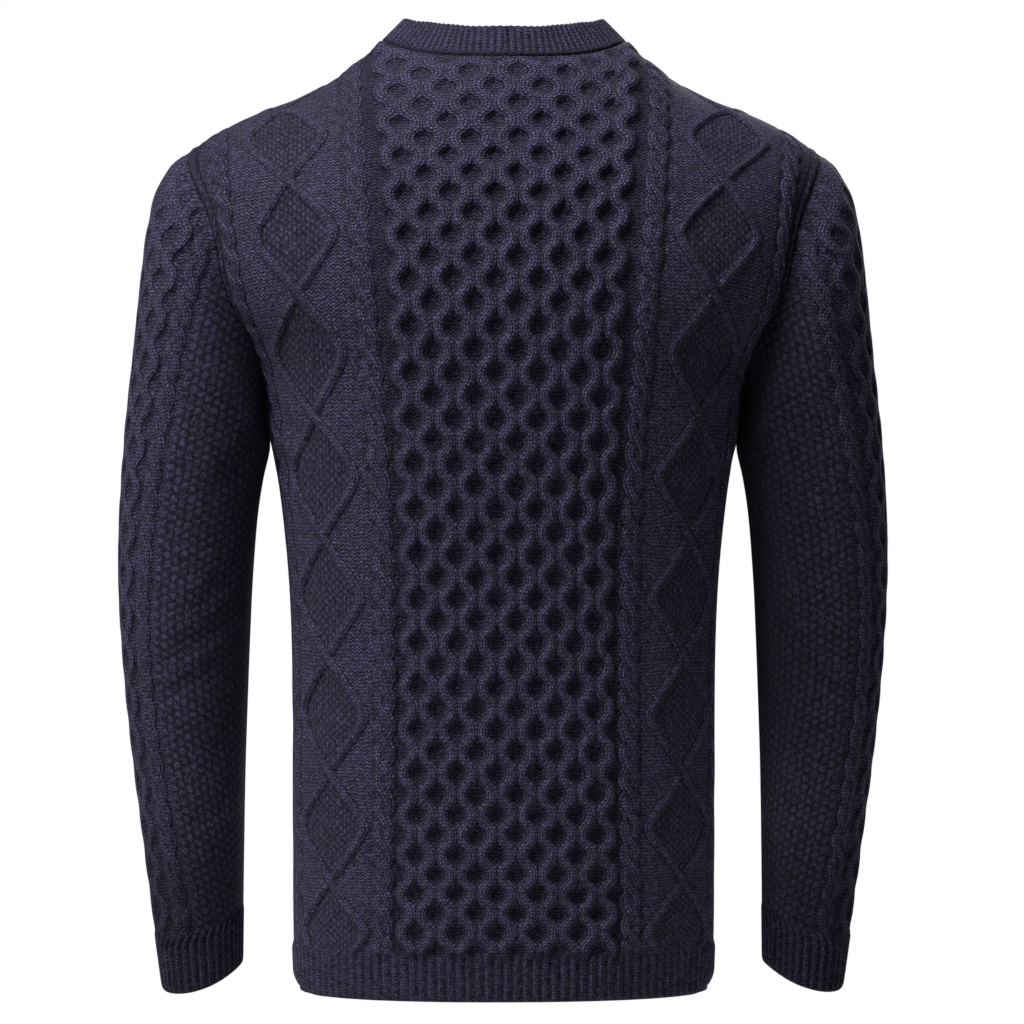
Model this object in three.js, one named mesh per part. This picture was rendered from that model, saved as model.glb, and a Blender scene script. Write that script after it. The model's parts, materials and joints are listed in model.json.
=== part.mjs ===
// Aran sweater: a crew-neck pullover with set-in sleeves, filled out as it hangs on a wearer.
// Millimetres, +Z up. The wearer faces -Y, so +X is the wearer's left-hand side.
// The origin lies midway between the two side neck points, where the shoulders hold the garment up.
// Five knitted pieces are sewn together: back, front, two sleeves and the neckband. The ribbed welt
// and the ribbed cuffs are knitted in one with their panels. Each piece is a thin wall of cloth,
// built as a grid of points on its right side and the same grid moved in by the cloth's thickness.
import * as THREE from 'three';

// ---------------------------------------------------------------- driving dimensions
const CLOTH = 4;                // thickness of the cabled knit
const BAND_CLOTH = 5;           // thickness of the neckband, whose rib is folded double
const SEAM_GAP = 0.3;           // room between two pieces at a seam
const HEM_Z = -676;             // lower edge of the welt
const UNDERARM_Z = -242;        // where side seam, armhole and sleeve seam meet
const SIDE_NECK_X = 88;         // half the width between the side neck points
const SIDE_NECK_Z = 4;
const BACK_NECK_Z = -12;        // middle of the neck seam at the back
const FRONT_NECK_Z = -85;       // middle of the neck seam at the front
const BACK_NECK_POWER = 3.5;    // how long the back neck stays level before it rises to the side
const ARMHOLE_HALF_DEPTH = 52;  // half the armhole's reach from back to front
const BAND_HEIGHT = 24;         // height of the neckband along its slope
const BAND_ROUNDING = 1.5;      // how far the band's folded edge is rounded
const BAND_LEVELS = [0, 0.35, 0.7];  // rows of points up the band below its rounding, as shares
const BACK_LEAN = 26;           // degrees that the band leans in at the middle of the back,
const SIDE_LEAN = 45;           // at the side neck point
const FRONT_LEAN = 38;          // and at the middle of the front

const GIRTH_POWER = 2.3;        // how square the torso's sections are, where 2 is an ellipse
const ARCH_RISE_POWER = 2.5;    // shape of the arch from the underarm level over the shoulder
const ARCH_DEPTH_POWER = 2.3;
const SLEEVE_POWER = 2.15;      // how square the sleeve's sections are
const SEAM_PULL = 3;            // how closely a panel's rows and columns keep to its edges

// Torso sections: half breadth side to side, and reach to the back and to the front.
const TORSO = [
  { z: -676, breadth: 150.5, back: 103, front: 103 },
  { z: -630, breadth: 152, back: 103.5, front: 105 },
  { z: -540, breadth: 152.5, back: 102, front: 107 },
  { z: -440, breadth: 153, back: 101, front: 110 },
  { z: -380, breadth: 155.5, back: 103, front: 112 },
  { z: -320, breadth: 161.5, back: 107, front: 115 },
  { z: -280, breadth: 167, back: 110, front: 117 },
  { z: -242, breadth: 172, back: 112, front: 118 },
  { z: -228, breadth: 176.5, back: 112.5, front: 118 },
  { z: -212, breadth: 186.5, back: 113.5, front: 117 },
  { z: -196, breadth: 200, back: 114, front: 116 },
  { z: -180, breadth: 211.5, back: 114, front: 115 },
  { z: -165, breadth: 219, back: 114, front: 113.5 },
  { z: -150, breadth: 224, back: 114, front: 111.5 },
  { z: -122, breadth: 234, back: 112.5, front: 107 },
  { z: -100, breadth: 245, back: 111, front: 102.5 },
  { z: -77, breadth: 254, back: 108, front: 98 },
  { z: -30, breadth: 258, back: 105, front: 88 },
  { z: 40, breadth: 260, back: 103, front: 80 },
];

// Shoulder ridge: its height at each distance from the centre line. Inside the side neck points it
// runs on as the ridge of the neck's base, which only shapes the cloth beside the neck seam.
const RIDGE = [
  { x: 0, z: 36 },
  { x: 30, z: 28 },
  { x: 60, z: 12.7 },
  { x: 75, z: 6.4 },
  { x: 88, z: 4 },
  { x: 96, z: -2.5 },
  { x: 105, z: -10 },
  { x: 116, z: -18.7 },
  { x: 130, z: -27.4 },
  { x: 148, z: -36 },
  { x: 170, z: -44.6 },
  { x: 190, z: -53.3 },
  { x: 206, z: -62 },
  { x: 220, z: -70.6 },
  { x: 226, z: -75 },
];
const SHOULDER_X = 226;
const SHOULDER_Z = -75;

// Sleeve sections from armhole to wrist. Each is a slice across the sleeve, set by the point on the
// outer side of the arm, the point facing the body, half the depth and the middle's offset in Y.
const SLEEVE = [
  { outerX: 226, outerZ: -75, innerX: 172, innerZ: -242, halfDepth: 52, midY: 0 },
  { outerX: 239, outerZ: -86, innerX: 173.3, innerZ: -251, halfDepth: 55.5, midY: 0 },
  { outerX: 249.5, outerZ: -105, innerX: 172.6, innerZ: -263, halfDepth: 59, midY: 0 },
  { outerX: 255.5, outerZ: -133, innerX: 170.6, innerZ: -276, halfDepth: 61.5, midY: 0 },
  { outerX: 260, outerZ: -172, innerX: 169.4, innerZ: -290, halfDepth: 63, midY: 0 },
  { outerX: 265, outerZ: -220, innerX: 172.6, innerZ: -310, halfDepth: 62, midY: -1 },
  { outerX: 271, outerZ: -275, innerX: 176.4, innerZ: -340, halfDepth: 60.5, midY: -2 },
  { outerX: 275, outerZ: -335, innerX: 179.6, innerZ: -382, halfDepth: 58, midY: -3 },
  { outerX: 275.5, outerZ: -390, innerX: 181.6, innerZ: -424, halfDepth: 55.5, midY: -4 },
  { outerX: 272, outerZ: -450, innerX: 183.4, innerZ: -470, halfDepth: 52, midY: -6 },
  { outerX: 266, outerZ: -510, innerX: 185, innerZ: -518, halfDepth: 48, midY: -8 },
  { outerX: 258.5, outerZ: -570, innerX: 186, innerZ: -568, halfDepth: 44, midY: -11 },
  { outerX: 250.5, outerZ: -634, innerX: 186.8, innerZ: -617, halfDepth: 39, midY: -15 },
  { outerX: 244.5, outerZ: -679, innerX: 187.5, innerZ: -661, halfDepth: 36.5, midY: -18 },
];
const ARMHOLE_FADE = 0.4;       // share of the sleeve's length over which the armhole's own shape fades

// Grid sizes: half a panel across, rows above and below the underarm, neck share, and sleeve rings.
const HALF_COLUMNS = 12;
const NECK_COLUMNS = 6;
const UPPER_ROWS = 12;
const LOWER_ROWS = 9;
const ROWS_CROWD_UP = 1.6;      // above 1, the rows below the underarm lie closer towards it
const SLEEVE_RINGS = 17;
const NECK_SAMPLES = 240;       // points along half the neck seam before they are spaced evenly
const HALVINGS = 40;            // steps of halving in the search for the armhole's edge

const YARN = { color: 0x3d3b4e, roughness: 0.92, metalness: 0 };
const BAND_YARN = { color: 0x45425a, roughness: 0.92, metalness: 0 };

// ---------------------------------------------------------------- curves and small helpers
const vec = (x, y, z) => new THREE.Vector3(x, y, z);
const mix = THREE.MathUtils.lerp;
const signedPower = (value, power) => Math.sign(value) * Math.abs(value) ** power;

// A smooth curve through one named column of a table, read at any value of its key column.
function curveThrough(rows, key, column) {
  const slopes = rows.map((row, i) => {
    const before = rows[Math.max(i - 1, 0)];
    const after = rows[Math.min(i + 1, rows.length - 1)];
    return (after[column] - before[column]) / (after[key] - before[key]);
  });
  return (at) => {
    let i = 0;
    while (i < rows.length - 2 && at > rows[i + 1][key]) i += 1;
    const step = rows[i + 1][key] - rows[i][key];
    const s = THREE.MathUtils.clamp((at - rows[i][key]) / step, 0, 1);
    const start = rows[i][column];
    const end = rows[i + 1][column];
    const rise = (3 - 2 * s) * s * s;
    const leave = s * (1 - s) * (1 - s) * slopes[i] * step;
    const arrive = s * s * (s - 1) * slopes[i + 1] * step;
    return mix(start, end, rise) + leave + arrive;
  };
}

// Moves along a line of points in equal steps of its length.
function evenSteps(line, steps) {
  const reach = [0];
  for (let i = 1; i < line.length; i += 1) {
    reach.push(reach[i - 1] + line[i].distanceTo(line[i - 1]));
  }
  const length = reach[line.length - 1];
  return Array.from({ length: steps + 1 }, (_, step) => {
    const goal = (length * step) / steps;
    let i = 0;
    while (i < line.length - 2 && reach[i + 1] < goal) i += 1;
    const share = (goal - reach[i]) / (reach[i + 1] - reach[i]);
    return line[i].clone().lerp(line[i + 1], share);
  });
}

const breadthAt = curveThrough(TORSO, 'z', 'breadth');
const reachAt = { back: curveThrough(TORSO, 'z', 'back'), front: curveThrough(TORSO, 'z', 'front') };
const ridgeAt = curveThrough(RIDGE, 'x', 'z');
const SIDE_SIGN = { back: 1, front: -1 };

// ---------------------------------------------------------------- the torso's surface
// The height of a point above the underarm level, as a share of the arch over the shoulder there.
const archShare = (x, z) => (z - UNDERARM_Z) / (ridgeAt(Math.abs(x)) - UNDERARM_Z);

// Distance of the cloth from the middle plane at a place seen from behind.
function torsoReach(side, x, z) {
  const across = Math.min(Math.abs(x) / breadthAt(z), 1);
  const girth = (1 - across ** GIRTH_POWER) ** (1 / GIRTH_POWER);
  const rise = THREE.MathUtils.clamp(archShare(x, z), 0, 1);
  const arch = (1 - rise ** ARCH_RISE_POWER) ** (1 / ARCH_DEPTH_POWER);
  return reachAt[side](z) * girth * arch;
}

const onTorso = (side, x, z) => vec(x, SIDE_SIGN[side] * torsoReach(side, x, z), z);

// The armhole seam from the underarm (turn 0) to the shoulder point (turn PI), for +X.
function armholePoint(side, turn) {
  const z = (UNDERARM_Z + SHOULDER_Z) / 2 - ((SHOULDER_Z - UNDERARM_Z) / 2) * Math.cos(turn);
  const reach = ARMHOLE_HALF_DEPTH * Math.sin(turn);
  let near = SIDE_NECK_X;
  let far = Math.min(SHOULDER_X, breadthAt(z));
  for (let pass = 0; pass < HALVINGS; pass += 1) {
    const x = (near + far) / 2;
    if (torsoReach(side, x, z) > reach) near = x;
    else far = x;
  }
  return vec((near + far) / 2, SIDE_SIGN[side] * reach, z);
}

const turnAt = (row) => (Math.PI * row) / UPPER_ROWS;
const ARMHOLE = {
  back: Array.from({ length: UPPER_ROWS + 1 }, (_, row) => armholePoint('back', turnAt(row))),
  front: Array.from({ length: UPPER_ROWS + 1 }, (_, row) => armholePoint('front', turnAt(row))),
};
const SHOULDER_POINT = vec(SHOULDER_X, 0, SHOULDER_Z);
const UNDERARM_POINT = vec(TORSO.find((row) => row.z === UNDERARM_Z).breadth, 0, UNDERARM_Z);
const ARMHOLE_CENTRE = SHOULDER_POINT.clone().add(UNDERARM_POINT).multiplyScalar(0.5);
const ARMHOLE_OUTWARD = vec(
  SHOULDER_Z - UNDERARM_Z, 0, UNDERARM_POINT.x - SHOULDER_POINT.x,
).normalize();

// Half of the neck seam, from the middle of the back or front to the side neck point.
function neckHalf(side) {
  const low = side === 'back' ? BACK_NECK_Z : FRONT_NECK_Z;
  const line = [];
  for (let i = 0; i <= NECK_SAMPLES; i += 1) {
    const turn = (Math.PI / 2) * (i / NECK_SAMPLES);
    const x = SIDE_NECK_X * Math.sin(turn);
    const rise = side === 'back' ? (x / SIDE_NECK_X) ** BACK_NECK_POWER : 1 - Math.cos(turn);
    line.push(onTorso(side, x, mix(low, SIDE_NECK_Z, rise)));
  }
  return evenSteps(line, NECK_COLUMNS);
}
const NECK = { back: neckHalf('back'), front: neckHalf('front') };

// Where the neckband stands on each point of the neck seam: the way it rises, leaning in over the
// neck and square to the seam, and the direction through its cloth into the neck opening.
function neckFrames(side) {
  const middleLean = side === 'back' ? BACK_LEAN : FRONT_LEAN;
  return NECK[side].map((point, column) => {
    const sideways = point.x / SIDE_NECK_X;
    const lean = THREE.MathUtils.degToRad(mix(middleLean, SIDE_LEAN, sideways ** 2));
    const towards = vec(-point.x, -point.y, 0).normalize();
    const rise = towards.clone().multiplyScalar(Math.sin(lean)).add(vec(0, 0, Math.cos(lean)));
    const before = NECK[side][column - 1];
    const after = NECK[side][column + 1];
    const along = before && after ? after.clone().sub(before).normalize() : vec(0, 1, 0);
    if (!before) along.set(1, 0, 0);
    rise.addScaledVector(along, -rise.dot(along)).normalize();
    const inward = rise.clone().cross(along).normalize();
    if (inward.dot(towards) < 0) inward.negate();
    return { point, rise, inward };
  });
}
const NECK_FRAMES = { back: neckFrames('back'), front: neckFrames('front') };

// ---------------------------------------------------------------- walls of cloth
// Unit normals of a grid of points, turned so that they point into the garment.
function inwardNormals(grid, inside) {
  const rows = grid.length;
  const columns = grid[0].length;
  return grid.map((line, r) => line.map((point, c) => {
    const across = grid[r][Math.min(c + 1, columns - 1)].clone().sub(grid[r][Math.max(c - 1, 0)]);
    const along = grid[Math.min(r + 1, rows - 1)][c].clone().sub(grid[Math.max(r - 1, 0)][c]);
    const normal = across.cross(along).normalize();
    const inward = inside(point).sub(point);
    return normal.dot(inward) < 0 ? normal.negate() : normal;
  }));
}

// One closed solid from two grids of the same size. A looped grid joins its last column to its first.
function wall(name, outer, inner, looped, yarn) {
  const rows = outer.length;
  const columns = outer[0].length;
  const positions = [];
  for (const grid of [outer, inner]) {
    for (const line of grid) for (const point of line) positions.push(point.x, point.y, point.z);
  }
  const index = (layer, r, c) => (layer * rows + r) * columns + (c % columns);
  const corner = (i) => vec(positions[3 * i], positions[3 * i + 1], positions[3 * i + 2]);
  const faces = [];
  const top = rows - 1;
  // Each four-sided patch is split along its shorter diagonal, so that facing seams split alike.
  const quad = (a, b, c, d) => {
    const shorter = corner(a).distanceTo(corner(c)) <= corner(b).distanceTo(corner(d));
    faces.push(...(shorter ? [a, b, c, a, c, d] : [a, b, d, b, c, d]));
  };
  const lastColumn = looped ? columns : columns - 1;
  for (let r = 0; r < rows - 1; r += 1) {
    for (let c = 0; c < lastColumn; c += 1) {
      quad(index(0, r, c), index(0, r, c + 1), index(0, r + 1, c + 1), index(0, r + 1, c));
      quad(index(1, r, c), index(1, r + 1, c), index(1, r + 1, c + 1), index(1, r, c + 1));
    }
  }
  for (let c = 0; c < lastColumn; c += 1) {
    quad(index(0, 0, c + 1), index(0, 0, c), index(1, 0, c), index(1, 0, c + 1));
    quad(index(0, top, c), index(0, top, c + 1), index(1, top, c + 1), index(1, top, c));
  }
  if (!looped) {
    const end = columns - 1;
    for (let r = 0; r < rows - 1; r += 1) {
      quad(index(0, r, 0), index(0, r + 1, 0), index(1, r + 1, 0), index(1, r, 0));
      quad(index(0, r + 1, end), index(0, r, end), index(1, r, end), index(1, r + 1, end));
    }
  }
  let volume = 0;
  for (let f = 0; f < faces.length; f += 3) {
    volume += corner(faces[f]).dot(corner(faces[f + 1]).cross(corner(faces[f + 2])));
  }
  if (volume < 0) faces.reverse();
  const geometry = new THREE.BufferGeometry();
  geometry.setAttribute('position', new THREE.Float32BufferAttribute(positions, 3));
  geometry.setIndex(faces);
  geometry.computeVertexNormals();
  const mesh = new THREE.Mesh(geometry, new THREE.MeshStandardMaterial(yarn));
  mesh.name = name;
  return mesh;
}

const moveIn = (grid, inward, thickness) => grid.map((line, r) => (
  line.map((point, c) => point.clone().addScaledVector(inward[r][c], thickness))
));

// ---------------------------------------------------------------- back and front
// Half a panel for +X: rows from the hem up to the neck and shoulder seams, columns from the centre
// line out to the side seam and the armhole seam.
function halfPanel(side) {
  const grid = [];
  for (let row = 0; row < LOWER_ROWS; row += 1) {
    const z = mix(UNDERARM_Z, HEM_Z, (1 - row / LOWER_ROWS) ** ROWS_CROWD_UP);
    grid.push(Array.from({ length: HALF_COLUMNS + 1 }, (_, column) => {
      const turn = ((Math.PI / 2) * column) / HALF_COLUMNS;
      const x = breadthAt(z) * Math.sin(turn) ** (2 / GIRTH_POWER);
      const y = reachAt[side](z) * Math.max(Math.cos(turn), 0) ** (2 / GIRTH_POWER);
      return vec(x, SIDE_SIGN[side] * (column === HALF_COLUMNS ? 0 : y), z);
    }));
  }
  for (let row = 0; row <= UPPER_ROWS; row += 1) {
    const share = row / UPPER_ROWS;
    const edge = ARMHOLE[side][row];
    const edgeArch = Math.asin(Math.min(archShare(edge.x, edge.z), 1) ** (ARCH_RISE_POWER / 2));
    const edgeTurn = Math.asin(Math.min(edge.x / breadthAt(edge.z), 1) ** (GIRTH_POWER / 2));
    grid.push(Array.from({ length: HALF_COLUMNS + 1 }, (_, column) => {
      if (column === HALF_COLUMNS) return edge.clone();
      const u = column / HALF_COLUMNS;
      const top = topPoint(side, column);
      if (row === UPPER_ROWS) return top;
      const low = edge.x * (Math.sin(u * edgeTurn) / Math.sin(edgeTurn)) ** (2 / GIRTH_POWER);
      const x = mix(low, top.x, share ** SEAM_PULL);
      const topArch = Math.asin(Math.min(archShare(top.x, top.z), 1) ** (ARCH_RISE_POWER / 2));
      const arch = mix(topArch * share, edgeArch, u ** SEAM_PULL);
      const z = UNDERARM_Z + Math.sin(arch) ** (2 / ARCH_RISE_POWER) * (ridgeAt(x) - UNDERARM_Z);
      return onTorso(side, x, z);
    }));
  }
  return grid;
}

// The top edge of a panel: the neck seam first, then the shoulder seam.
function topPoint(side, column) {
  if (column <= NECK_COLUMNS) return NECK[side][column].clone();
  const share = (column - NECK_COLUMNS) / (HALF_COLUMNS - NECK_COLUMNS);
  const x = mix(SIDE_NECK_X, SHOULDER_X, share);
  return vec(x, 0, ridgeAt(x));
}

// The direction through the cloth at a point of the ridge, pointing down into the garment.
function ridgeInward(x) {
  const slope = (ridgeAt(x + 1) - ridgeAt(x - 1)) / 2;
  return vec(slope, 0, -1).normalize();
}

// The direction through the cloth at a point of the armhole seam, into the sleeve's opening. At the
// underarm it points straight up, because body and sleeve both fold down from the seam there.
function armholeInward(point) {
  const towards = ARMHOLE_CENTRE.clone().sub(point);
  towards.x = Math.min(towards.x, 0);
  return towards.normalize();
}

const mirrored = (point) => vec(-point.x, point.y, point.z);

function panel(side) {
  const half = halfPanel(side);
  const lastRow = half.length - 1;
  const inside = (point) => vec(0, 0, Math.min(point.z, UNDERARM_Z));
  const inward = inwardNormals(half, inside);
  inward.forEach((line, row) => {
    line[0].x = 0;
    line[0].normalize();
    if (row < LOWER_ROWS) line[HALF_COLUMNS] = vec(-1, 0, 0);
    else line[HALF_COLUMNS] = armholeInward(half[row][HALF_COLUMNS]);
  });
  for (let column = 0; column <= HALF_COLUMNS; column += 1) {
    const point = half[lastRow][column];
    if (column < NECK_COLUMNS) inward[lastRow][column] = NECK_FRAMES[side][column].inward;
    else inward[lastRow][column] = ridgeInward(point.x);
  }
  const gap = (SIDE_SIGN[side] * SEAM_GAP) / 2;
  const seamPoint = (row, column) => (
    column === HALF_COLUMNS || (row === lastRow && column >= NECK_COLUMNS)
  );
  half.forEach((line, row) => line.forEach((point, column) => {
    if (seamPoint(row, column) && Math.abs(point.y) < Math.abs(gap)) point.y = gap;
  }));
  const innerHalf = moveIn(half, inward, CLOTH);
  const whole = (grid) => grid.map((line) => [...line.slice(1).reverse().map(mirrored), ...line]);
  return wall(side, whole(half), whole(innerHalf), false, YARN);
}

// ---------------------------------------------------------------- neckband
function neckband() {
  const mirroredFrame = ({ point, rise, inward }) => ({
    point: mirrored(point), rise: mirrored(rise), inward: mirrored(inward),
  });
  const back = NECK_FRAMES.back;
  const front = NECK_FRAMES.front.slice(0, -1);
  const seam = [
    ...back,
    ...front.slice().reverse(),
    ...front.slice(1).map(mirroredFrame),
    ...back.slice(1).reverse().map(mirroredFrame),
  ];
  const levels = [
    ...BAND_LEVELS.map((rise) => ({ rise, inset: 0 })),
    { rise: 1 - BAND_ROUNDING / BAND_HEIGHT, inset: 0 },
    { rise: 1, inset: BAND_ROUNDING },
  ];
  const height = BAND_HEIGHT - SEAM_GAP;
  const grid = (depthOf) => levels.map((level) => seam.map(({ point, rise, inward }) => (
    point.clone()
      .addScaledVector(rise, SEAM_GAP + level.rise * height)
      .addScaledVector(inward, depthOf(level))
  )));
  const outer = grid(({ inset }) => inset);
  const inner = grid(({ inset }) => BAND_CLOTH - inset);
  return wall('neckband', outer, inner, true, BAND_YARN);
}

// ---------------------------------------------------------------- sleeves
const SLEEVE_PLACES = SLEEVE.map((row, i) => ({ ...row, place: i }));

// The ring of a sleeve at a share of its length, for +X: it starts at the underarm side and goes
// round by the back.
function sleeveRing(share) {
  const place = share * (SLEEVE.length - 1);
  const value = (column) => curveThrough(SLEEVE_PLACES, 'place', column)(place);
  const outer = vec(value('outerX'), value('midY'), value('outerZ'));
  const inner = vec(value('innerX'), value('midY'), value('innerZ'));
  const middle = outer.clone().add(inner).multiplyScalar(0.5);
  const across = inner.clone().sub(middle);
  const depth = value('halfDepth');
  const ring = [];
  for (let step = 0; step < 2 * UPPER_ROWS; step += 1) {
    const turn = (Math.PI * step) / UPPER_ROWS;
    const point = middle.clone()
      .addScaledVector(across, signedPower(Math.cos(turn), 2 / SLEEVE_POWER))
      .add(vec(0, depth * signedPower(Math.sin(turn), 2 / SLEEVE_POWER), 0));
    ring.push(point);
  }
  return ring;
}

function armholeRing() {
  const front = ARMHOLE.front.slice(1, -1).reverse();
  return [...ARMHOLE.back, ...front].map((point) => (
    point.clone().addScaledVector(ARMHOLE_OUTWARD, SEAM_GAP)
  ));
}

function sleeve(name, mirror) {
  const seam = armholeRing();
  const firstRing = sleeveRing(0);
  const rings = [seam];
  for (let ring = 1; ring <= SLEEVE_RINGS; ring += 1) {
    const share = ring / SLEEVE_RINGS;
    const keep = Math.max(1 - share / ARMHOLE_FADE, 0) ** 2;
    rings.push(sleeveRing(share).map((point, step) => (
      point.addScaledVector(seam[step].clone().sub(firstRing[step]), keep)
    )));
  }
  const inner = rings.map((ring, r) => ring.map((point, step) => {
    const count = ring.length;
    const across = ring[(step + 1) % count].clone().sub(ring[(step + count - 1) % count]);
    const nextRing = rings[Math.min(r + 1, SLEEVE_RINGS)];
    const lastRing = rings[Math.max(r - 1, 0)];
    const along = nextRing[step].clone().sub(lastRing[step]);
    const normal = across.cross(along).normalize();
    const middle = ring.reduce((sum, each) => sum.add(each), vec(0, 0, 0)).divideScalar(count);
    if (normal.dot(middle.sub(point)) < 0) normal.negate();
    const inward = r === 0 ? armholeInward(point) : normal;
    return point.clone().addScaledVector(inward, CLOTH);
  }));
  const place = (grid) => grid.map((line) => line.map((point) => (mirror ? mirrored(point) : point)));
  return wall(name, place(rings), place(inner), true, YARN);
}

// ---------------------------------------------------------------- the garment
const sweater = new THREE.Group();
sweater.add(
  panel('back'),
  panel('front'),
  sleeve('sleeve_left', false),
  sleeve('sleeve_right', true),
  neckband(),
);

export default sweater;
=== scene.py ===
# %% [markdown]
# # An aran sweater, knitted in points
#
# A hand-framed aran pullover is five knitted pieces sewn together: a back, a front, two sleeves and
# a folded neckband. Its pattern isn't printed on the cloth. Stitches cross over each other, so the
# cables really stand above the ground, and this script gives every piece that relief in its mesh.
# Only the single loops of yarn, which are smaller than the mesh's grid, are left to the material.

import json

import bpy
import numpy as np
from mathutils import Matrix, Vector

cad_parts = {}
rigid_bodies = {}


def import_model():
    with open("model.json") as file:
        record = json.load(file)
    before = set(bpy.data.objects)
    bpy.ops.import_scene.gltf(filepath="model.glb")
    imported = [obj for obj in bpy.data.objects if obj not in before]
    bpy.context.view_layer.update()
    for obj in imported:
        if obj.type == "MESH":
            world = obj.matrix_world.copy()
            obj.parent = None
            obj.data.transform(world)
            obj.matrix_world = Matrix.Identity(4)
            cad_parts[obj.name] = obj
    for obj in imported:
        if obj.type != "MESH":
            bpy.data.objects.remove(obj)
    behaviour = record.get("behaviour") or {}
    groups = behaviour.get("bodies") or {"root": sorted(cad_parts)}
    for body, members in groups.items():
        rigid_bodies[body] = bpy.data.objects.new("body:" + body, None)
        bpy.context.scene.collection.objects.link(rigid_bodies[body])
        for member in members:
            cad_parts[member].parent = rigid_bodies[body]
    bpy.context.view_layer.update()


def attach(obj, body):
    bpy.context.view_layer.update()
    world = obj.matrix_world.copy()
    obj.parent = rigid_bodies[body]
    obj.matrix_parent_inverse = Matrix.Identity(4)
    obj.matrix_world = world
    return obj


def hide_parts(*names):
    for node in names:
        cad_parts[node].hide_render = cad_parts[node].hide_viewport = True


for left_over in list(bpy.data.objects):
    bpy.data.objects.remove(left_over)
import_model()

MM = 0.001                       # the cloth is worked out in millimetres, and made in metres

# %% [markdown]
# ## Camera
#
# The garment is looked at from behind, from a few metres away with a long lens, which keeps its
# sides nearly parallel. The camera stands a degree or two towards the wearer's left.

# %% Camera behind the garment
CAMERA_TURN = np.radians(178.5)  # 180 would look straight at the back
CAMERA_DISTANCE = 3.2
CAMERA_AIM = Vector((-0.006, 0.0, -0.334))
FRAME_WIDTH = 0.7373             # metres seen across at the aim point
SENSOR = 36.0

lens = bpy.data.cameras.new("long_lens")
lens.sensor_width = SENSOR
lens.lens = SENSOR * CAMERA_DISTANCE / FRAME_WIDTH
camera = bpy.data.objects.new("camera", lens)
bpy.context.scene.collection.objects.link(camera)
back_way = Vector((np.sin(CAMERA_TURN), -np.cos(CAMERA_TURN), 0.0))
camera.location = CAMERA_AIM + back_way * CAMERA_DISTANCE
camera.rotation_mode = "QUATERNION"
camera.rotation_quaternion = (-back_way).to_track_quat("-Z", "Y")
bpy.context.scene.camera = camera
print("camera at", tuple(round(v, 3) for v in camera.location), "lens", round(lens.lens, 1), "mm")

# %% [markdown]
# ## Studio
#
# Dark wool needs a large soft lamp that rakes across it, so that each cable has a lit side and a
# shaded side. The main lamp stands at the wearer's left, and little light comes back from the
# right. The surroundings look white to the camera but light the wool only a little.

# %% Lamps, surroundings and floor
def soft_lamp(name, place, aim, size, power):
    """A square lamp that faces its aim point."""
    data = bpy.data.lights.new(name, "AREA")
    data.shape = "SQUARE"
    data.size = size
    data.energy = power
    lamp = bpy.data.objects.new(name, data)
    lamp.location = place
    lamp.rotation_mode = "QUATERNION"
    lamp.rotation_quaternion = (Vector(aim) - Vector(place)).to_track_quat("-Z", "Y")
    bpy.context.scene.collection.objects.link(lamp)
    return lamp


MIDDLE = (0.0, 0.0, -0.33)
soft_lamp("key_lamp", (1.9, 1.2, 1.8), MIDDLE, 1.2, 53.0)
soft_lamp("top_lamp", (0.5, 0.7, 1.5), MIDDLE, 1.0, 31.0)
soft_lamp("front_lamp", (-1.2, -2.4, 1.0), MIDDLE, 1.5, 46.0)

SURROUND_LIGHT = 0.05
world = bpy.data.worlds.new("studio")
bpy.context.scene.world = world
world.use_nodes = True
tree = world.node_tree
tree.nodes.clear()
seen = tree.nodes.new("ShaderNodeLightPath")
white = tree.nodes.new("ShaderNodeBackground")
white.inputs["Color"].default_value = (1.0, 1.0, 1.0, 1.0)
white.inputs["Strength"].default_value = 1.0
dim = tree.nodes.new("ShaderNodeBackground")
dim.inputs["Color"].default_value = (0.93, 0.95, 1.0, 1.0)
dim.inputs["Strength"].default_value = SURROUND_LIGHT
choose = tree.nodes.new("ShaderNodeMixShader")
shown = tree.nodes.new("ShaderNodeOutputWorld")
tree.links.new(seen.outputs["Is Camera Ray"], choose.inputs["Fac"])
tree.links.new(dim.outputs["Background"], choose.inputs[1])
tree.links.new(white.outputs["Background"], choose.inputs[2])
tree.links.new(choose.outputs["Shader"], shown.inputs["Surface"])

# %% [markdown]
# ## Curves and the torso's surface
#
# The cloth here lies on the same surface as the construction model: sections of a general figure,
# rounder than a box and squarer than an ellipse, closed over the shoulders by an arch. The same
# named sizes are given again, so the fine cloth lands on the plain walls that it stands for.

# %% Smooth curves through short tables
def smooth_curve(keys, values):
    """A smooth curve through the values at their keys, read at any key or array of keys."""
    keys = np.asarray(keys, float)
    values = np.asarray(values, float)
    places = np.arange(len(keys))
    before = np.maximum(places - 1, 0)
    after = np.minimum(places + 1, len(keys) - 1)
    slopes = (values[after] - values[before]) / (keys[after] - keys[before])

    def at(where):
        where = np.asarray(where, float)
        i = np.clip(np.searchsorted(keys, where) - 1, 0, len(keys) - 2)
        step = keys[i + 1] - keys[i]
        s = np.clip((where - keys[i]) / step, 0, 1)
        rise = (3 - 2 * s) * s * s
        leave = s * (1 - s) ** 2 * slopes[i] * step
        arrive = s * s * (s - 1) * slopes[i + 1] * step
        return values[i] + (values[i + 1] - values[i]) * rise + leave + arrive

    return at


def soft_step(value):
    """0 below 0, 1 above 1, and an even blend between them."""
    value = np.clip(value, 0, 1)
    return value * value * (3 - 2 * value)


def mix(a, b, share):
    return a + (b - a) * share


def bell(distance, width, power=2):
    """1 at distance 0, with a smooth fall to 0. A higher power makes a flatter top."""
    return np.exp(-((distance / width) ** power))


def unit(vectors):
    """The same directions, each one long."""
    return vectors / np.linalg.norm(vectors, axis=-1, keepdims=True)


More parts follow.
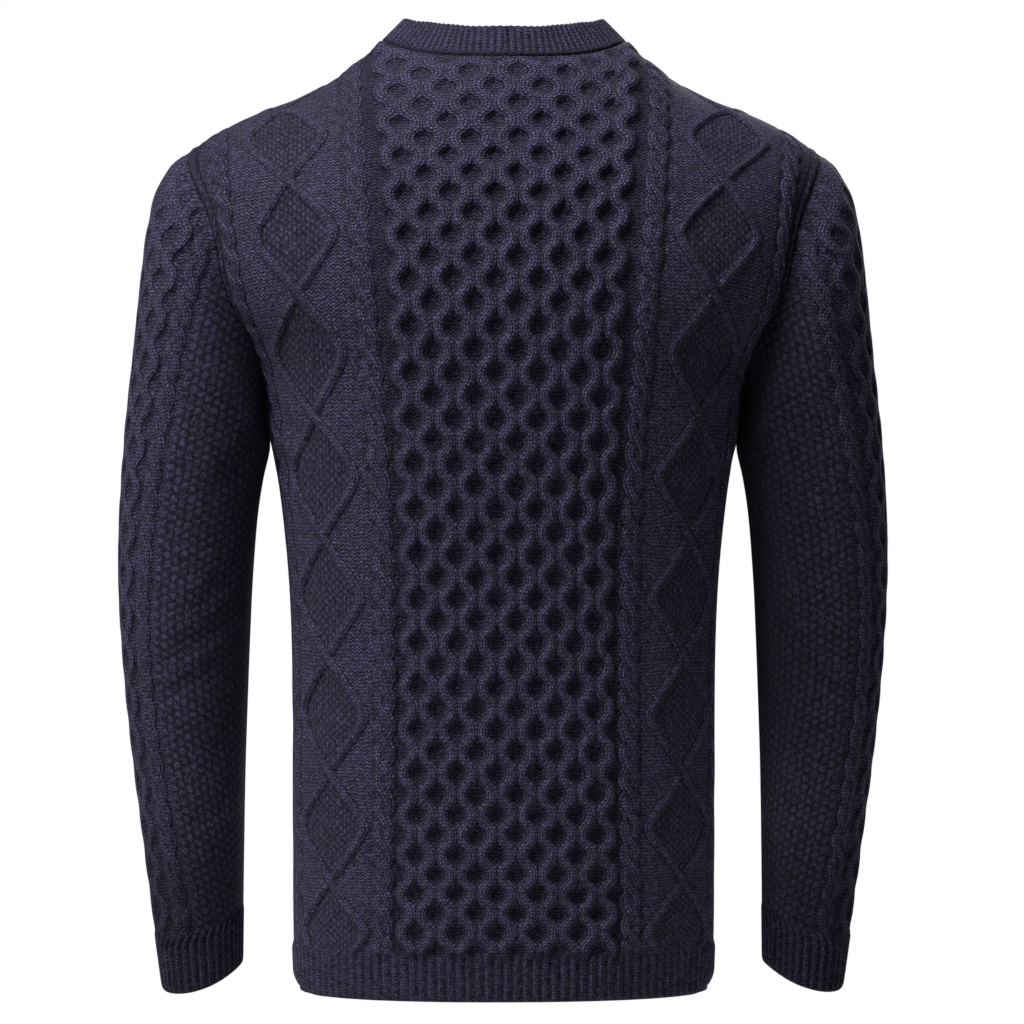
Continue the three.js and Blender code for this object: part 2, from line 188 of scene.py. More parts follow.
def read_line(places, reach, line):
    """Points at the given distances along a line of points."""
    return np.stack([np.interp(places, reach, line[:, k]) for k in range(3)], -1)


# %% The torso's sizes
HEM_Z, UNDERARM_Z = -676.0, -242.0
SIDE_NECK_X, SIDE_NECK_Z = 88.0, 4.0
BACK_NECK_Z, FRONT_NECK_Z, BACK_NECK_POWER = -12.0, -85.0, 3.5
SHOULDER_X, SHOULDER_Z = 226.0, -75.0
UNDERARM_X = 172.0
ARMHOLE_HALF_DEPTH = 52.0
GIRTH_POWER, ARCH_RISE_POWER, ARCH_DEPTH_POWER = 2.3, 2.5, 2.3
CLOTH = 4.0                      # from the right side's mean level to the wrong side

TORSO = np.array([               # height, half breadth, reach to the back, reach to the front
    (-676, 150.5, 103, 103), (-630, 152, 103.5, 105), (-540, 152.5, 102, 107),
    (-440, 153, 101, 110), (-380, 155.5, 103, 112), (-320, 161.5, 107, 115),
    (-280, 167, 110, 117), (-242, 172, 112, 118), (-228, 176.5, 112.5, 118),
    (-212, 186.5, 113.5, 117), (-196, 200, 114, 116), (-180, 211.5, 114, 115),
    (-165, 219, 114, 113.5), (-150, 224, 114, 111.5), (-122, 234, 112.5, 107),
    (-100, 245, 111, 102.5), (-77, 254, 108, 98), (-30, 258, 105, 88), (40, 260, 103, 80),
])
RIDGE = np.array([               # the shoulder ridge: distance from the centre line, height
    (0, 36), (30, 28), (60, 12.7), (75, 6.4), (88, 4), (96, -2.5), (105, -10), (116, -18.7),
    (130, -27.4), (148, -36), (170, -44.6), (190, -53.3), (206, -62), (220, -70.6), (226, -75),
])
breadth_at = smooth_curve(TORSO[:, 0], TORSO[:, 1])
reach_at = {
    "back": smooth_curve(TORSO[:, 0], TORSO[:, 2]),
    "front": smooth_curve(TORSO[:, 0], TORSO[:, 3]),
}
ridge_at = smooth_curve(RIDGE[:, 0], RIDGE[:, 1])
SIDE_SIGN = {"back": 1.0, "front": -1.0}
print("half breadth at the underarm:", float(breadth_at(UNDERARM_Z)), "mm")

# %% Points on the torso
def arch_share(x, z):
    """Height above the underarm as a share of the arch over the shoulder there."""
    return np.clip((z - UNDERARM_Z) / (ridge_at(np.abs(x)) - UNDERARM_Z), 0, 1)


def torso_reach(side, x, z):
    """Distance of the cloth from the middle plane."""
    across = np.clip(np.abs(x) / breadth_at(z), 0, 1)
    girth = (1 - across ** GIRTH_POWER) ** (1 / GIRTH_POWER)
    arch = (1 - arch_share(x, z) ** ARCH_RISE_POWER) ** (1 / ARCH_DEPTH_POWER)
    return reach_at[side](z) * girth * arch


def on_torso(side, x, z):
    x, z = np.broadcast_arrays(x, z)
    return np.stack([x, SIDE_SIGN[side] * torso_reach(side, x, z), z], -1)


def armhole_points(side, turn):
    """Points of the armhole seam, from the underarm at turn 0 to the shoulder point at turn pi."""
    z = (UNDERARM_Z + SHOULDER_Z) / 2 - (SHOULDER_Z - UNDERARM_Z) / 2 * np.cos(turn)
    reach = ARMHOLE_HALF_DEPTH * np.sin(turn)
    near = np.full_like(z, SIDE_NECK_X)
    far = np.minimum(SHOULDER_X, breadth_at(z))
    for _ in range(40):
        x = (near + far) / 2
        inside = torso_reach(side, x, z) > reach
        near = np.where(inside, x, near)
        far = np.where(inside, far, x)
    return np.stack([(near + far) / 2, SIDE_SIGN[side] * reach, z], -1)


def lengths_along(points):
    """Distance along a line of points, from its first one."""
    steps = np.linalg.norm(np.diff(points, axis=0), axis=-1)
    return np.concatenate([np.zeros((1,) + steps.shape[1:]), np.cumsum(steps, axis=0)])


def away_from_armhole(seam):
    """Directions out from the armhole's middle, which body and sleeve share at their seam."""
    centre = np.array([(SHOULDER_X + UNDERARM_X) / 2, 0, (SHOULDER_Z + UNDERARM_Z) / 2])
    towards = centre - seam
    towards[:, 0] = np.minimum(towards[:, 0], 0)
    return -unit(towards)


armhole = armhole_points("back", np.linspace(0, np.pi, 91))
print("armhole, half its round:", round(float(lengths_along(armhole)[-1]), 1), "mm")

# %% [markdown]
# ## Gauge
#
# Hand knitting isn't a ruler: the cloth is drawn in at the waist, spread over the shoulder blades
# and pushed together near the welt. So the pattern's sizes are short tables up the body, in
# millimetres along the cloth. Everything that repeats, from the honeycomb to the diamonds, counts
# the same knitted rows, which keeps the motifs level with each other as they are on the needles.

# %% Rows and columns of the pattern
# Height up the cloth from the underarm, and the height there of half a honeycomb cell.
ROW_GAUGE = np.array([
    (-440, 13.0), (-370, 13.3), (-317, 14.1), (-260, 14.7), (-200, 15.4), (-140, 15.5),
    (-75, 15.8), (-10, 15.9), (50, 16.2), (110, 15.2), (150, 14.0), (215, 13.0), (280, 12.8),
])
LEVEL_ROW = 16.0                 # the half-cell count at LEVEL_PLACE, counted from the neck down
LEVEL_PLACE = -12.0
ROWS_PER_HALF_CELL = 6.0
ROPE_ROWS = 7.4                  # knitted rows from one crossing of a rope to the next
DIAMOND_HALF_CELLS = 5.42        # half cells from one crossing of the diamonds to the next
DIAMOND_START = 16.75

# Height, honeycomb cell width, and the middles of the rope, the diamonds and the side rope, all as
# distances from the centre line along the cloth.
LAYOUT = np.array([
    (-676, 28.6, 89.5, 133, 176), (-600, 28.4, 89.0, 133, 176), (-520, 27.8, 87.5, 133, 177),
    (-440, 27.5, 87.0, 134, 178), (-380, 27.4, 87.5, 136, 180), (-320, 28.2, 90.0, 139, 186),
    (-270, 29.1, 93.0, 143, 194), (-220, 29.7, 97.0, 149, 200), (-170, 30.4, 101.0, 150, 206),
    (-110, 31.9, 106.0, 156, 212), (-60, 33.4, 109.5, 162, 216), (10, 35.0, 112.0, 168, 220),
])
cell_width = smooth_curve(LAYOUT[:, 0], LAYOUT[:, 1])
rope_place = smooth_curve(LAYOUT[:, 0], LAYOUT[:, 2])
diamond_place = smooth_curve(LAYOUT[:, 0], LAYOUT[:, 3])
side_rope_place = smooth_curve(LAYOUT[:, 0], LAYOUT[:, 4])
BODY_STRANDS = 5                 # strands each side of the middle one in the honeycomb panel
HALF_COMB = 2.75                 # half the honeycomb panel's width, in cells
STRAND_SHARE = 0.268             # a strand's width as a share of the cell width
SWAY_SHARE = 0.121               # how far a strand swings to each side, as a share of it too
PAUSE = 1.05                     # how long strands stay together before they part again
ROPE_HALF = 8.3
SIDE_ROPE_HALF = 8.8
DIAMOND_HALF = 30.0
RIDGE_HALF = 4.2
RIB_Z = -643.0                   # the welt's ribbing ends here

fine_up = np.linspace(-450, 300, 1501)
row_height = smooth_curve(ROW_GAUGE[:, 0], ROW_GAUGE[:, 1])
counted = np.cumsum(-np.gradient(fine_up) / row_height(fine_up))
counted += LEVEL_ROW - np.interp(LEVEL_PLACE, fine_up, counted)


def half_cells(up):
    """Half honeycomb cells counted down from the neck, at a height up the cloth."""
    return np.interp(up, fine_up, counted)


print("half cells from welt to neck:", round(float(half_cells(-400) - half_cells(235)), 1))

# %% [markdown]
# ## The motifs
#
# Each motif is a small function of the place on the cloth. It gives the height of the relief from
# 0 to 1, the wale number, which runs along the yarn's own columns, and a mask of painted shade
# where the cloth closes into a crease. Working from place to height like this keeps a cable the
# same on a flat back and round a narrow sleeve.
#
# In honeycomb, neighbouring strands swing together and apart, and each parting leaves a deep cell.

# %% Honeycomb
CREASE_WIDTH = 1.7


def honeycomb(across, half_cell, cell, strands, row_size, full=1.0):
    """Strands side by side that swing apart and together, and leave a deep cell at each parting."""
    spacing = cell / 2
    swing = np.tanh(PAUSE * np.cos(np.pi * half_cell)) / np.tanh(PAUSE)
    steep = np.pi * PAUSE * np.sin(np.pi * half_cell) * (1 - (swing * np.tanh(PAUSE)) ** 2)
    steep = steep * SWAY_SHARE * cell / row_size
    half = full * STRAND_SHARE * cell / 2 * np.sqrt(1 + steep * steep)
    middle = np.round(across / spacing)
    off = np.full_like(across, 1e3)
    chosen = np.zeros_like(across)
    for shift in (-1, 0, 1):
        strand = np.clip(middle + shift, -strands, strands)
        lean = np.where(strand % 2 == 0, 1.0, -1.0)
        here = across - strand * spacing - lean * SWAY_SHARE * cell * swing
        closer = np.abs(here) < np.abs(off)
        off = np.where(closer, here, off)
        chosen = np.where(closer, strand, chosen)
    share = np.clip(off / half, -1, 1)
    round_top = np.cos(share * np.pi / 2) ** 0.75
    cover = soft_step((half + CREASE_WIDTH - np.abs(off)) / CREASE_WIDTH)
    height = cover * (0.60 + 0.40 * round_top)
    line = np.clip(1 - (half - np.abs(off)) / 1.6, 0, 1) * (np.abs(off) <= half + 0.5)
    # painted shade: the cell floors and the thin lines between strands are darkened in colour
    painted_crease_shade = np.maximum(0.85 * (1 - cover), line)
    wale = 2 * chosen + off / half
    return height, wale, painted_crease_shade, cover, np.abs(off) - half


# %% [markdown]
# ## Rope
#
# A rope is two strands that change places every few rows, one over the other. Each strand's middle
# follows a wave, and the top one stands higher just where they cross. Twisting a tube in Blender
# would make a round cord lying on the cloth, but a cable has no underside.

# %% Rope
ROW_SIZE = 2.6                   # one knitted row, in millimetres
ROPE_SWING = 0.50                # how far a strand's middle swings, as a share of the half width
ROPE_STRAND = 0.56               # half a strand's width, as a share of it too
LEVEL_TOP, TOP_LIFT = 0.76, 0.24


def rope(across, rows, half, sense):
    """Two fat strands that twist round each other. sense says which way the top one slants."""
    turn = np.pi * rows / ROPE_ROWS
    lift = np.sin(turn)
    swing = sense * ROPE_SWING * half * np.cos(turn)
    steep = ROPE_SWING * half * lift * np.pi / (ROPE_ROWS * ROW_SIZE)
    reach = ROPE_STRAND * half * np.sqrt(1 + steep ** 2)
    first, second = (across - swing) / reach, (across + swing) / reach
    first_top = np.sqrt(np.clip(1 - first ** 2, 0, 1)) * (LEVEL_TOP + TOP_LIFT * lift)
    second_top = np.sqrt(np.clip(1 - second ** 2, 0, 1)) * (LEVEL_TOP - TOP_LIFT * lift)
    best = np.maximum(first_top, second_top)
    wale = np.where(first_top > second_top, first, second)
    slit = bell(first_top - second_top, 0.16) * soft_step(best / 0.5)
    best = best * (1 - 0.25 * slit)
    edge = np.clip(1 - best / 0.5, 0, 1) * (np.abs(across) < 1.25 * half)
    from_edge = (np.minimum(np.abs(first), np.abs(second)) - 1) * reach
    from_slit = 4 * np.abs(first_top - second_top) + 6 * soft_step((0.55 - best) / 0.3)
    line = np.where(np.abs(from_edge) < from_slit, from_edge, from_slit)
    # painted shade in the slit where the strands cross and along the rope's edges
    return best, wale, np.maximum(0.6 * slit, 0.6 * edge), line


print("a rope crosses every", round(ROPE_ROWS * ROW_SIZE, 1), "mm")

# %% [markdown]
# ## Diamonds
#
# Two narrow ridges of knit stitches travel out, turn and come back, and cross over a purl ground.
# The field between them is moss, which lies a little lower and looks rougher.

# %% Diamonds
def diamonds(across, half_cell, over_sign):
    """Two ridges that travel out and in. across is measured from the diamonds' middle."""
    step = np.pi * (half_cell - DIAMOND_START) / DIAMOND_HALF_CELLS
    zigzag = np.arcsin(0.975 * np.sin(step)) / np.arcsin(0.975)
    slope = np.sign(np.cos(step))
    over_side = np.where(slope * over_sign > 0, 1.0, -1.0)
    over = across - over_side * DIAMOND_HALF * zigzag
    under = across + over_side * DIAMOND_HALF * zigzag
    over_top = np.cos(np.clip(over / RIDGE_HALF, -1, 1) * np.pi / 2) ** 0.5
    under_top = np.cos(np.clip(under / RIDGE_HALF, -1, 1) * np.pi / 2) ** 0.5
    under_top = under_top * soft_step((np.abs(over) - 4.5) / 2.5)
    height = np.maximum(over_top, under_top)
    off = np.where(over_top >= under_top, over, under)
    from_under = np.maximum(np.abs(under) - RIDGE_HALF, 5.5 - np.abs(over))
    line = np.minimum(np.abs(over) - RIDGE_HALF, from_under) - 0.3
    inside = soft_step((DIAMOND_HALF * np.abs(zigzag) - np.abs(across) - 2.0) / 3.0)
    return height, off / RIDGE_HALF, inside, line


print("a diamond is", DIAMOND_HALF_CELLS, "half cells of honeycomb high")

# %% [markdown]
# ## A panel's grid
#
# A knitted panel is a field of wales and rows, so its mesh is a grid that follows them. Each column
# keeps to one place in the pattern, which lets the valley between two strands fall exactly on a
# line of points. The outermost columns fan out to the side seam and the armhole.

# %% Columns that follow the pattern
HONEYCOMB_COLUMNS, GAP_COLUMNS, ROPE_COLUMNS = 44, 4, 12
BETWEEN_COLUMNS, DIAMOND_COLUMNS, SIDE_COLUMNS = 3, 33, 28
PATTERN_COLUMNS = HONEYCOMB_COLUMNS + GAP_COLUMNS + ROPE_COLUMNS + BETWEEN_COLUMNS + DIAMOND_COLUMNS
HALF_COLUMNS = PATTERN_COLUMNS + SIDE_COLUMNS
LOWER_STEPS, UPPER_STEPS = 232, 128
RIB_COLUMNS = 4                  # columns from one rib to the next
CAPPED_Z = -130.0                # above this, wales run straight up in the view from behind
knot_columns = np.cumsum([0, HONEYCOMB_COLUMNS, GAP_COLUMNS, ROPE_COLUMNS, BETWEEN_COLUMNS,
                          DIAMOND_COLUMNS])


def pattern_columns(z):
    """Distance of each pattern column from the centre line along the cloth, at heights z."""
    z = np.asarray(z, float)
    edge = HALF_COMB * cell_width(z)
    rope_at, diamond_at = rope_place(z), diamond_place(z)
    knots = np.stack([0 * z, edge, rope_at - ROPE_HALF - 1, rope_at + ROPE_HALF + 1,
                      diamond_at - DIAMOND_HALF - 5, diamond_at + DIAMOND_HALF + 5], -1)
    knots[..., 4] = np.maximum(knots[..., 4], knots[..., 3] + 2.0)
    columns = np.arange(PATTERN_COLUMNS + 1)
    place = np.clip(np.searchsorted(knot_columns, columns, side="right") - 1, 0, 4)
    share = (columns - knot_columns[place]) / (knot_columns[place + 1] - knot_columns[place])
    return knots[..., place] * (1 - share) + knots[..., place + 1] * share


print("columns in half a panel:", HALF_COLUMNS, "rows:", LOWER_STEPS + UPPER_STEPS)

# %% [markdown]
# ## Below the underarm
#
# Here the body is a plain tube. Each row of points is a level section of it, and the columns are
# read off along the section, by their distance from the centre line. A round shape could also be
# wrapped with Blender's Shrinkwrap, but that would lose the count of the wales.

# %% Rows below the underarm
def section(side, z, count=241):
    """A horizontal section of half the torso, and the distance along it from the centre line."""
    turn = np.linspace(0, np.pi / 2, count)
    x = breadth_at(z) * np.sin(turn) ** (2 / GIRTH_POWER)
    y = torso_reach(side, x, np.full_like(x, z))
    y[-1] = 0
    line = np.stack([x, SIDE_SIGN[side] * y, np.full_like(x, z)], -1)
    return line, lengths_along(line)


def girth_turn(x, z):
    """How far round a section a point is, from 0 at the centre line to pi / 2 at the side."""
    return np.arcsin(np.clip(x / breadth_at(z), 0, 1) ** (GIRTH_POWER / 2))


def lower_half(side):
    """Points and distances across of the part below the underarm, from the hem up."""
    heights = np.linspace(HEM_Z, UNDERARM_Z, LOWER_STEPS + 1)
    points, across = [], []
    for z in heights:
        line, reach = section(side, z)
        wales = pattern_columns(z)
        outer = np.linspace(wales[-1], reach[-1], SIDE_COLUMNS + 1)[1:]
        patterned = np.concatenate([wales, outer])
        even = np.linspace(0, reach[-1], HALF_COLUMNS + 1)
        places = mix(even, patterned, soft_step((z - RIB_Z + 6) / 18))
        points.append(read_line(places, reach, line))
        across.append(places)
    return np.array(points), np.array(across)


# %% [markdown]
# ## Above the underarm
#
# Over the shoulders the wales run up the arch of the cloth until they meet the neck or the shoulder
# seam, each at its own height. So each column is first followed to its end, and the rows are then
# shared out along it. The columns beyond the pattern spread towards the armhole.

# %% Where a wale lies on the arch
def x_table(side):
    """A table of x for each distance across and each height up to CAPPED_Z."""
    heights = np.linspace(UNDERARM_Z, CAPPED_Z, 57)
    distances = np.arange(0, 231.0)
    rows = []
    for z in heights:
        line, reach = section(side, z)
        rows.append(np.interp(distances, reach, line[:, 0]))
    return heights, np.array(rows)


def read_x(table, across, z):
    heights, rows = table
    f = (np.clip(z, heights[0], heights[-1]) - heights[0]) / (heights[1] - heights[0])
    i = np.clip(f.astype(int), 0, len(heights) - 2)
    j = np.clip(across.astype(int), 0, rows.shape[1] - 2)
    s, t = f - i, across - j
    return ((rows[i, j] * (1 - t) + rows[i, j + 1] * t) * (1 - s)
            + (rows[i + 1, j] * (1 - t) + rows[i + 1, j + 1] * t) * s)


def neck_height(side, x):
    """Height of the neck seam at a distance from the centre line."""
    share = np.clip(np.abs(x) / SIDE_NECK_X, 0, 1)
    if side == "back":
        return mix(BACK_NECK_Z, SIDE_NECK_Z, share ** BACK_NECK_POWER)
    return mix(FRONT_NECK_Z, SIDE_NECK_Z, 1 - np.sqrt(1 - share ** 2))


def arch_height(arch, x):
    rise = np.sin(np.clip(arch, 0, np.pi / 2)) ** (2 / ARCH_RISE_POWER)
    return UNDERARM_Z + rise * (ridge_at(x) - UNDERARM_Z)


# %% Rows above the underarm
def upper_half(side):
    """Points and distances across of the part above the underarm, up to the neck and shoulder."""
    table = x_table(side)
    arches = np.concatenate([np.linspace(0, 1.2, 200), np.linspace(1.2, np.pi / 2, 201)[1:]])
    x = np.zeros((len(arches), PATTERN_COLUMNS + 1))
    z = np.full_like(x, UNDERARM_Z)
    columns = np.arange(PATTERN_COLUMNS + 1)
    for _ in range(8):
        across = pattern_columns(z)[np.arange(len(arches))[:, None], columns, columns]
        x = read_x(table, across, z)
        z = arch_height(arches[:, None], x)
    rows = UPPER_STEPS + 1
    grid = np.zeros((rows, HALF_COLUMNS + 1, 3))
    grid_across = np.zeros((rows, HALF_COLUMNS + 1))
    paths = []
    for c in columns:
        line = on_torso(side, x[:, c], z[:, c])
        past = z[:, c] - neck_height(side, x[:, c])
        if x[-1, c] < SIDE_NECK_X and past.max() > 0:
            i = int(np.argmax(past > 0))
            s = past[i - 1] / (past[i - 1] - past[i])
            stop = i - 1 + s
        else:
            stop = len(arches) - 1.0
        index = np.arange(len(arches))
        keep = index < stop
        last = np.array([np.interp(stop, index, line[:, k]) for k in range(3)])
        path = np.vstack([line[keep], last])
        wales = np.append(across[keep, c], np.interp(stop, index, across[:, c]))
        paths.append((path, lengths_along(path), wales, np.append(arches[keep], arches[-1])))
    # rows stay level from column to column, and crowd or spread only close to the neck
    lengths = np.array([reach[-1] for _, reach, _, _ in paths])
    level = lengths
    for _ in range(60):
        padded = np.concatenate([level[:1], level, level[-1:]])
        level = (padded[:-2] + 2 * padded[1:-1] + padded[2:]) / 4
    share = np.linspace(0, 1, rows)
    for c, (path, reach, wales, arch) in enumerate(paths):
        even = share * level[c] + (lengths[c] - level[c]) * share ** 8
        grid[:, c] = read_line(even, reach, path)
        grid_across[:, c] = np.interp(even, reach, wales)
    edge_arch = np.interp(even, reach, arch)
    seam = armhole_points(side, np.linspace(0, np.pi, 721))
    reach = lengths_along(seam)
    seam = read_line(np.linspace(0, reach[-1], rows), reach, seam)
    seam_arch = np.arcsin(arch_share(seam[:, 0], seam[:, 2]) ** (ARCH_RISE_POWER / 2))
    seam_turn = girth_turn(seam[:, 0], seam[:, 2])
    inner_turn = girth_turn(grid[:, columns[-1], 0], grid[:, columns[-1], 2])
    for k in range(1, SIDE_COLUMNS + 1):
        share = k / SIDE_COLUMNS
        turn = mix(inner_turn, seam_turn, share)
        arch = mix(edge_arch, seam_arch, share ** 3)
        zz = np.full(rows, UNDERARM_Z) + arch * 50
        for _ in range(12):
            xx = breadth_at(zz) * np.sin(turn) ** (2 / GIRTH_POWER)
            zz = arch_height(arch, xx)
        grid[:, PATTERN_COLUMNS + k] = on_torso(side, xx, zz)
    grid[:, -1] = seam
    outer = grid[:, PATTERN_COLUMNS:]
    beyond = lengths_along(outer.transpose(1, 0, 2)).T
    grid_across[:, PATTERN_COLUMNS:] = grid_across[:, PATTERN_COLUMNS][:, None] + beyond
    return grid, grid_across


# %% The half panels from hem to top
def panel_grid(side):
    """The half panel's points, distances across and heights up the cloth, from hem to top."""
    low, low_across = lower_half(side)
    high, high_across = upper_half(side)
    points = np.concatenate([low, high[1:]])
    across = np.concatenate([low_across, high_across[1:]])
    up_low = np.repeat((low[:, :1, 2] - UNDERARM_Z), HALF_COLUMNS + 1, axis=1)
    up_high = lengths_along(high)
    return points, across, np.concatenate([up_low, up_high[1:]])


half_panels = {side: panel_grid(side) for side in SIDE_SIGN}
for side, (points, across, up) in half_panels.items():
    print(f"half a {side}: {points.shape[0]} rows, widest {across.max():.1f} mm, "
          f"hem {across[0, -1]:.1f} mm, centre length {up[-1, 0] - up[0, 0]:.1f} mm")

# %% [markdown]
# ## From grid to cloth
#
# A sheet of knitting has a right side, which carries the relief, and a plainer wrong side. The mesh
# is one closed shell: a fine grid outside, a coarse one inside and a strip that joins them round
# the edges, where a knitted edge rolls over softly.

# %% Which way the cloth faces
def grid_normals(points, looped=False):
    """Unit normals of a grid of points, by the differences between neighbours."""
    if looped:
        wide = np.concatenate([points[:, -1:], points, points[:, :1]], axis=1)
        along_row = wide[:, 2:] - wide[:, :-2]
    else:
        along_row = np.gradient(points, axis=1)
    along_column = np.gradient(points, axis=0)
    normals = np.cross(along_row, along_column)
    size = np.linalg.norm(normals, axis=-1, keepdims=True)
    return normals / np.maximum(size, 1e-9)


# %% Faces of a closed shell
COARSE = 4                       # fine steps for each coarse one on the wrong side


def shell_faces(rows, columns, looped):
    """Faces of a fine grid and its coarse lining, joined round their edges. Rows run up."""
    def fine(r, c):
        return r * columns + (c % columns if looped else c)

    lining_rows = (rows - 1) // COARSE + 1
    lining_columns = columns // COARSE if looped else (columns - 1) // COARSE + 1
    start = rows * columns

    def coarse(r, c):
        return start + r * lining_columns + (c % lining_columns if looped else c)

    r, c = np.meshgrid(np.arange(rows - 1), np.arange(columns if looped else columns - 1),
                       indexing="ij")
    quads = [np.stack([fine(r, c), fine(r, c + 1), fine(r + 1, c + 1), fine(r + 1, c)], -1)]
    r, c = np.meshgrid(np.arange(lining_rows - 1),
                       np.arange(lining_columns if looped else lining_columns - 1), indexing="ij")
    quads.append(np.stack([coarse(r, c), coarse(r + 1, c), coarse(r + 1, c + 1), coarse(r, c + 1)],
                          -1))
    triangles = []

    def join(outer, inner, flip):
        """Triangles between a fine edge and a coarse one."""
        for j in range(len(inner) - 1):
            half = COARSE // 2
            for t in range(COARSE):
                a, b = outer[j * COARSE + t], outer[j * COARSE + t + 1]
                triangles.append((a, inner[j] if t < half else inner[j + 1], b))
            triangles.append((outer[j * COARSE + half], inner[j], inner[j + 1]))
        if flip:
            count = (COARSE + 1) * (len(inner) - 1)
            triangles[-count:] = [(a, c2, b2) for a, b2, c2 in triangles[-count:]]

    turns = np.arange(columns + 1 if looped else columns)
    lining_turns = np.arange(lining_columns + 1 if looped else lining_columns)
    join([fine(0, k) for k in turns], [coarse(0, k) for k in lining_turns], False)
    join([fine(rows - 1, k) for k in turns],
         [coarse(lining_rows - 1, k) for k in lining_turns], True)
    if not looped:
        sides = np.arange(rows)
        lining_sides = np.arange(lining_rows)
        join([fine(k, 0) for k in sides], [coarse(k, 0) for k in lining_sides], True)
        join([fine(k, columns - 1) for k in sides],
             [coarse(k, lining_columns - 1) for k in lining_sides], False)
    return np.concatenate([q.reshape(-1, 4) for q in quads]), np.array(triangles)


# %% Area and facing
def flat_area(points, looped=False):
    """Area of a grid of points, in square metres."""
    wide = np.concatenate([points, points[:, :1]], axis=1) if looped else points
    along = wide[1:, :-1] - wide[:-1, :-1]
    beside = wide[:-1, 1:] - wide[:-1, :-1]
    return float(np.linalg.norm(np.cross(along, beside), axis=-1).sum()) * MM * MM


def inside_out(vertices, quads):
    """Whether a closed mesh's faces look inwards, told by the sign of its volume."""
    volume = np.einsum("ij,ij->i", vertices[quads[:, 0]],
                       np.cross(vertices[quads[:, 1]], vertices[quads[:, 2]])).sum()
    return volume < 0


# %% From arrays to a mesh
def make_piece(name, vertices, quads, triangles, notes):
    """A smooth mesh in metres. notes holds a vector for each point under each attribute's name."""
    mesh = bpy.data.meshes.new(name)
    mesh.vertices.add(len(vertices))
    mesh.vertices.foreach_set("co", (np.asarray(vertices) * MM).astype(np.float32).ravel())
    corners = np.concatenate([quads.ravel(), triangles.ravel()]).astype(np.int32)
    mesh.loops.add(len(corners))
    mesh.loops.foreach_set("vertex_index", corners)
    sizes = np.concatenate([np.full(len(quads), 4), np.full(len(triangles), 3)])
    starts = np.concatenate([[0], np.cumsum(sizes)[:-1]]).astype(np.int32)
    mesh.polygons.add(len(sizes))
    mesh.polygons.foreach_set("loop_start", starts)
    mesh.polygons.foreach_set("use_smooth", np.ones(len(sizes), bool))
    mesh.update(calc_edges=True)
    for title, values in notes.items():
        layer = mesh.attributes.new(title, "FLOAT_VECTOR", "POINT")
        layer.data.foreach_set("vector", np.asarray(values, np.float32).ravel())
    mesh.validate()
    piece = bpy.data.objects.new(name, mesh)
    bpy.context.scene.collection.objects.link(piece)
    count = int((sizes - 2).sum())
    print(f"{name}: {len(vertices)} points, {count} triangles")
    return piece


def shell_piece(name, base, outward, relief, stitch, place, shade, looped):
    """The closed shell of one knitted piece, from its base grid and the relief on its right side.

    stitch holds wale, row and how far the cloth is a raised strand. place holds the distances
    across and up the cloth and the one to the nearest edge line, along which outline shade is
    painted.
    shade holds painted crease shade, moss and painted shade where the pieces shelter each other.
    """
    outer = base + outward * relief[..., None]
    lining = (base - outward * CLOTH)[::COARSE, ::COARSE]
    rows, columns = base.shape[:2]
    quads, triangles = shell_faces(rows, columns, looped)
    vertices = np.concatenate([outer.reshape(-1, 3), lining.reshape(-1, 3)])
    notes = {}
    for title, values in (("stitch", stitch), ("place", place), ("shade", shade)):
        inside = values[::COARSE, ::COARSE]
        notes[title] = np.concatenate([values.reshape(-1, 3), inside.reshape(-1, 3)])
    if inside_out(vertices, quads):
        quads, triangles = quads[:, ::-1], triangles[:, ::-1]
    return make_piece(name, vertices, quads, triangles, notes)


# %% [markdown]
# ## Soft creases
#
# Filled-out knitting hangs almost smooth, but it gives a little where the body bends: under the
# arms, at the inside of the elbows and above the welt. Each crease is a soft trough, given one by
# one with its own length, width, slant and depth.

# %% Creases listed one by one
def creases(across, up, rows):
    """The sum of soft troughs. Each row is across, up, half length, half width, slant, depth."""
    total = np.zeros_like(across)
    for u, v, length, width, slant, depth in rows:
        angle = np.radians(slant)
        along = (across - u) * np.cos(angle) + (up - v) * np.sin(angle)
        aside = (up - v) * np.cos(angle) - (across - u) * np.sin(angle)
        fade = bell(along, length)
        trough = bell(aside, width)
        shoulder = 0.45 * bell(aside - 2.1 * width, width)
        total += depth * fade * (shoulder - trough)
    return total


BODY_CREASES = [
    (176, -28, 42, 8, 28, 2.0), (188, -58, 34, 7, 18, 1.5), (168, -8, 30, 6, 42, 1.2),
    (-178, -24, 40, 8, -30, 1.9), (-186, -62, 30, 7, -16, 1.6), (-170, -4, 28, 6, -44, 1.1),
    (120, -345, 60, 13, 6, 1.3), (-95, -362, 70, 12, -5, 1.2), (40, -300, 55, 15, 3, 0.8),
    (-150, -290, 40, 11, 12, 1.0), (165, -240, 36, 12, -10, 0.9), (-20, 180, 60, 14, 4, 0.7),
]
print(len(BODY_CREASES), "creases on the back, and the same on the front")

# %% [markdown]
# ## Uneven hands
#
# A knitter never pulls two cells of a cable quite alike, and a pattern without that looks stamped.
# A table of seeded random numbers, blended smoothly between its places, shifts the rows and the
# wales a little. It moves the mesh itself, which a noise texture in a material couldn't do.

# %% Smooth unevenness
ROW_UNEVEN, ROW_LUMP = 0.06, 24  # in half cells, in lumps of so many millimetres
WALE_UNEVEN, WALE_LUMP = 0.8, 17


def soft_noise(across, up, size, seed):
    """Smooth seeded noise from -1 to 1, in lumps of about the given size."""
    table = np.random.default_rng(seed).uniform(-1, 1, (128, 128))
    u, v = across / size + 50, up / size + 60
    i, j = np.floor(u).astype(int), np.floor(v).astype(int)
    s, t = soft_step(u - i), soft_step(v - j)
    i, j = i % 127, j % 127
    return ((table[i, j] * (1 - s) + table[i + 1, j] * s) * (1 - t)
            + (table[i, j + 1] * (1 - s) + table[i + 1, j + 1] * s) * t)


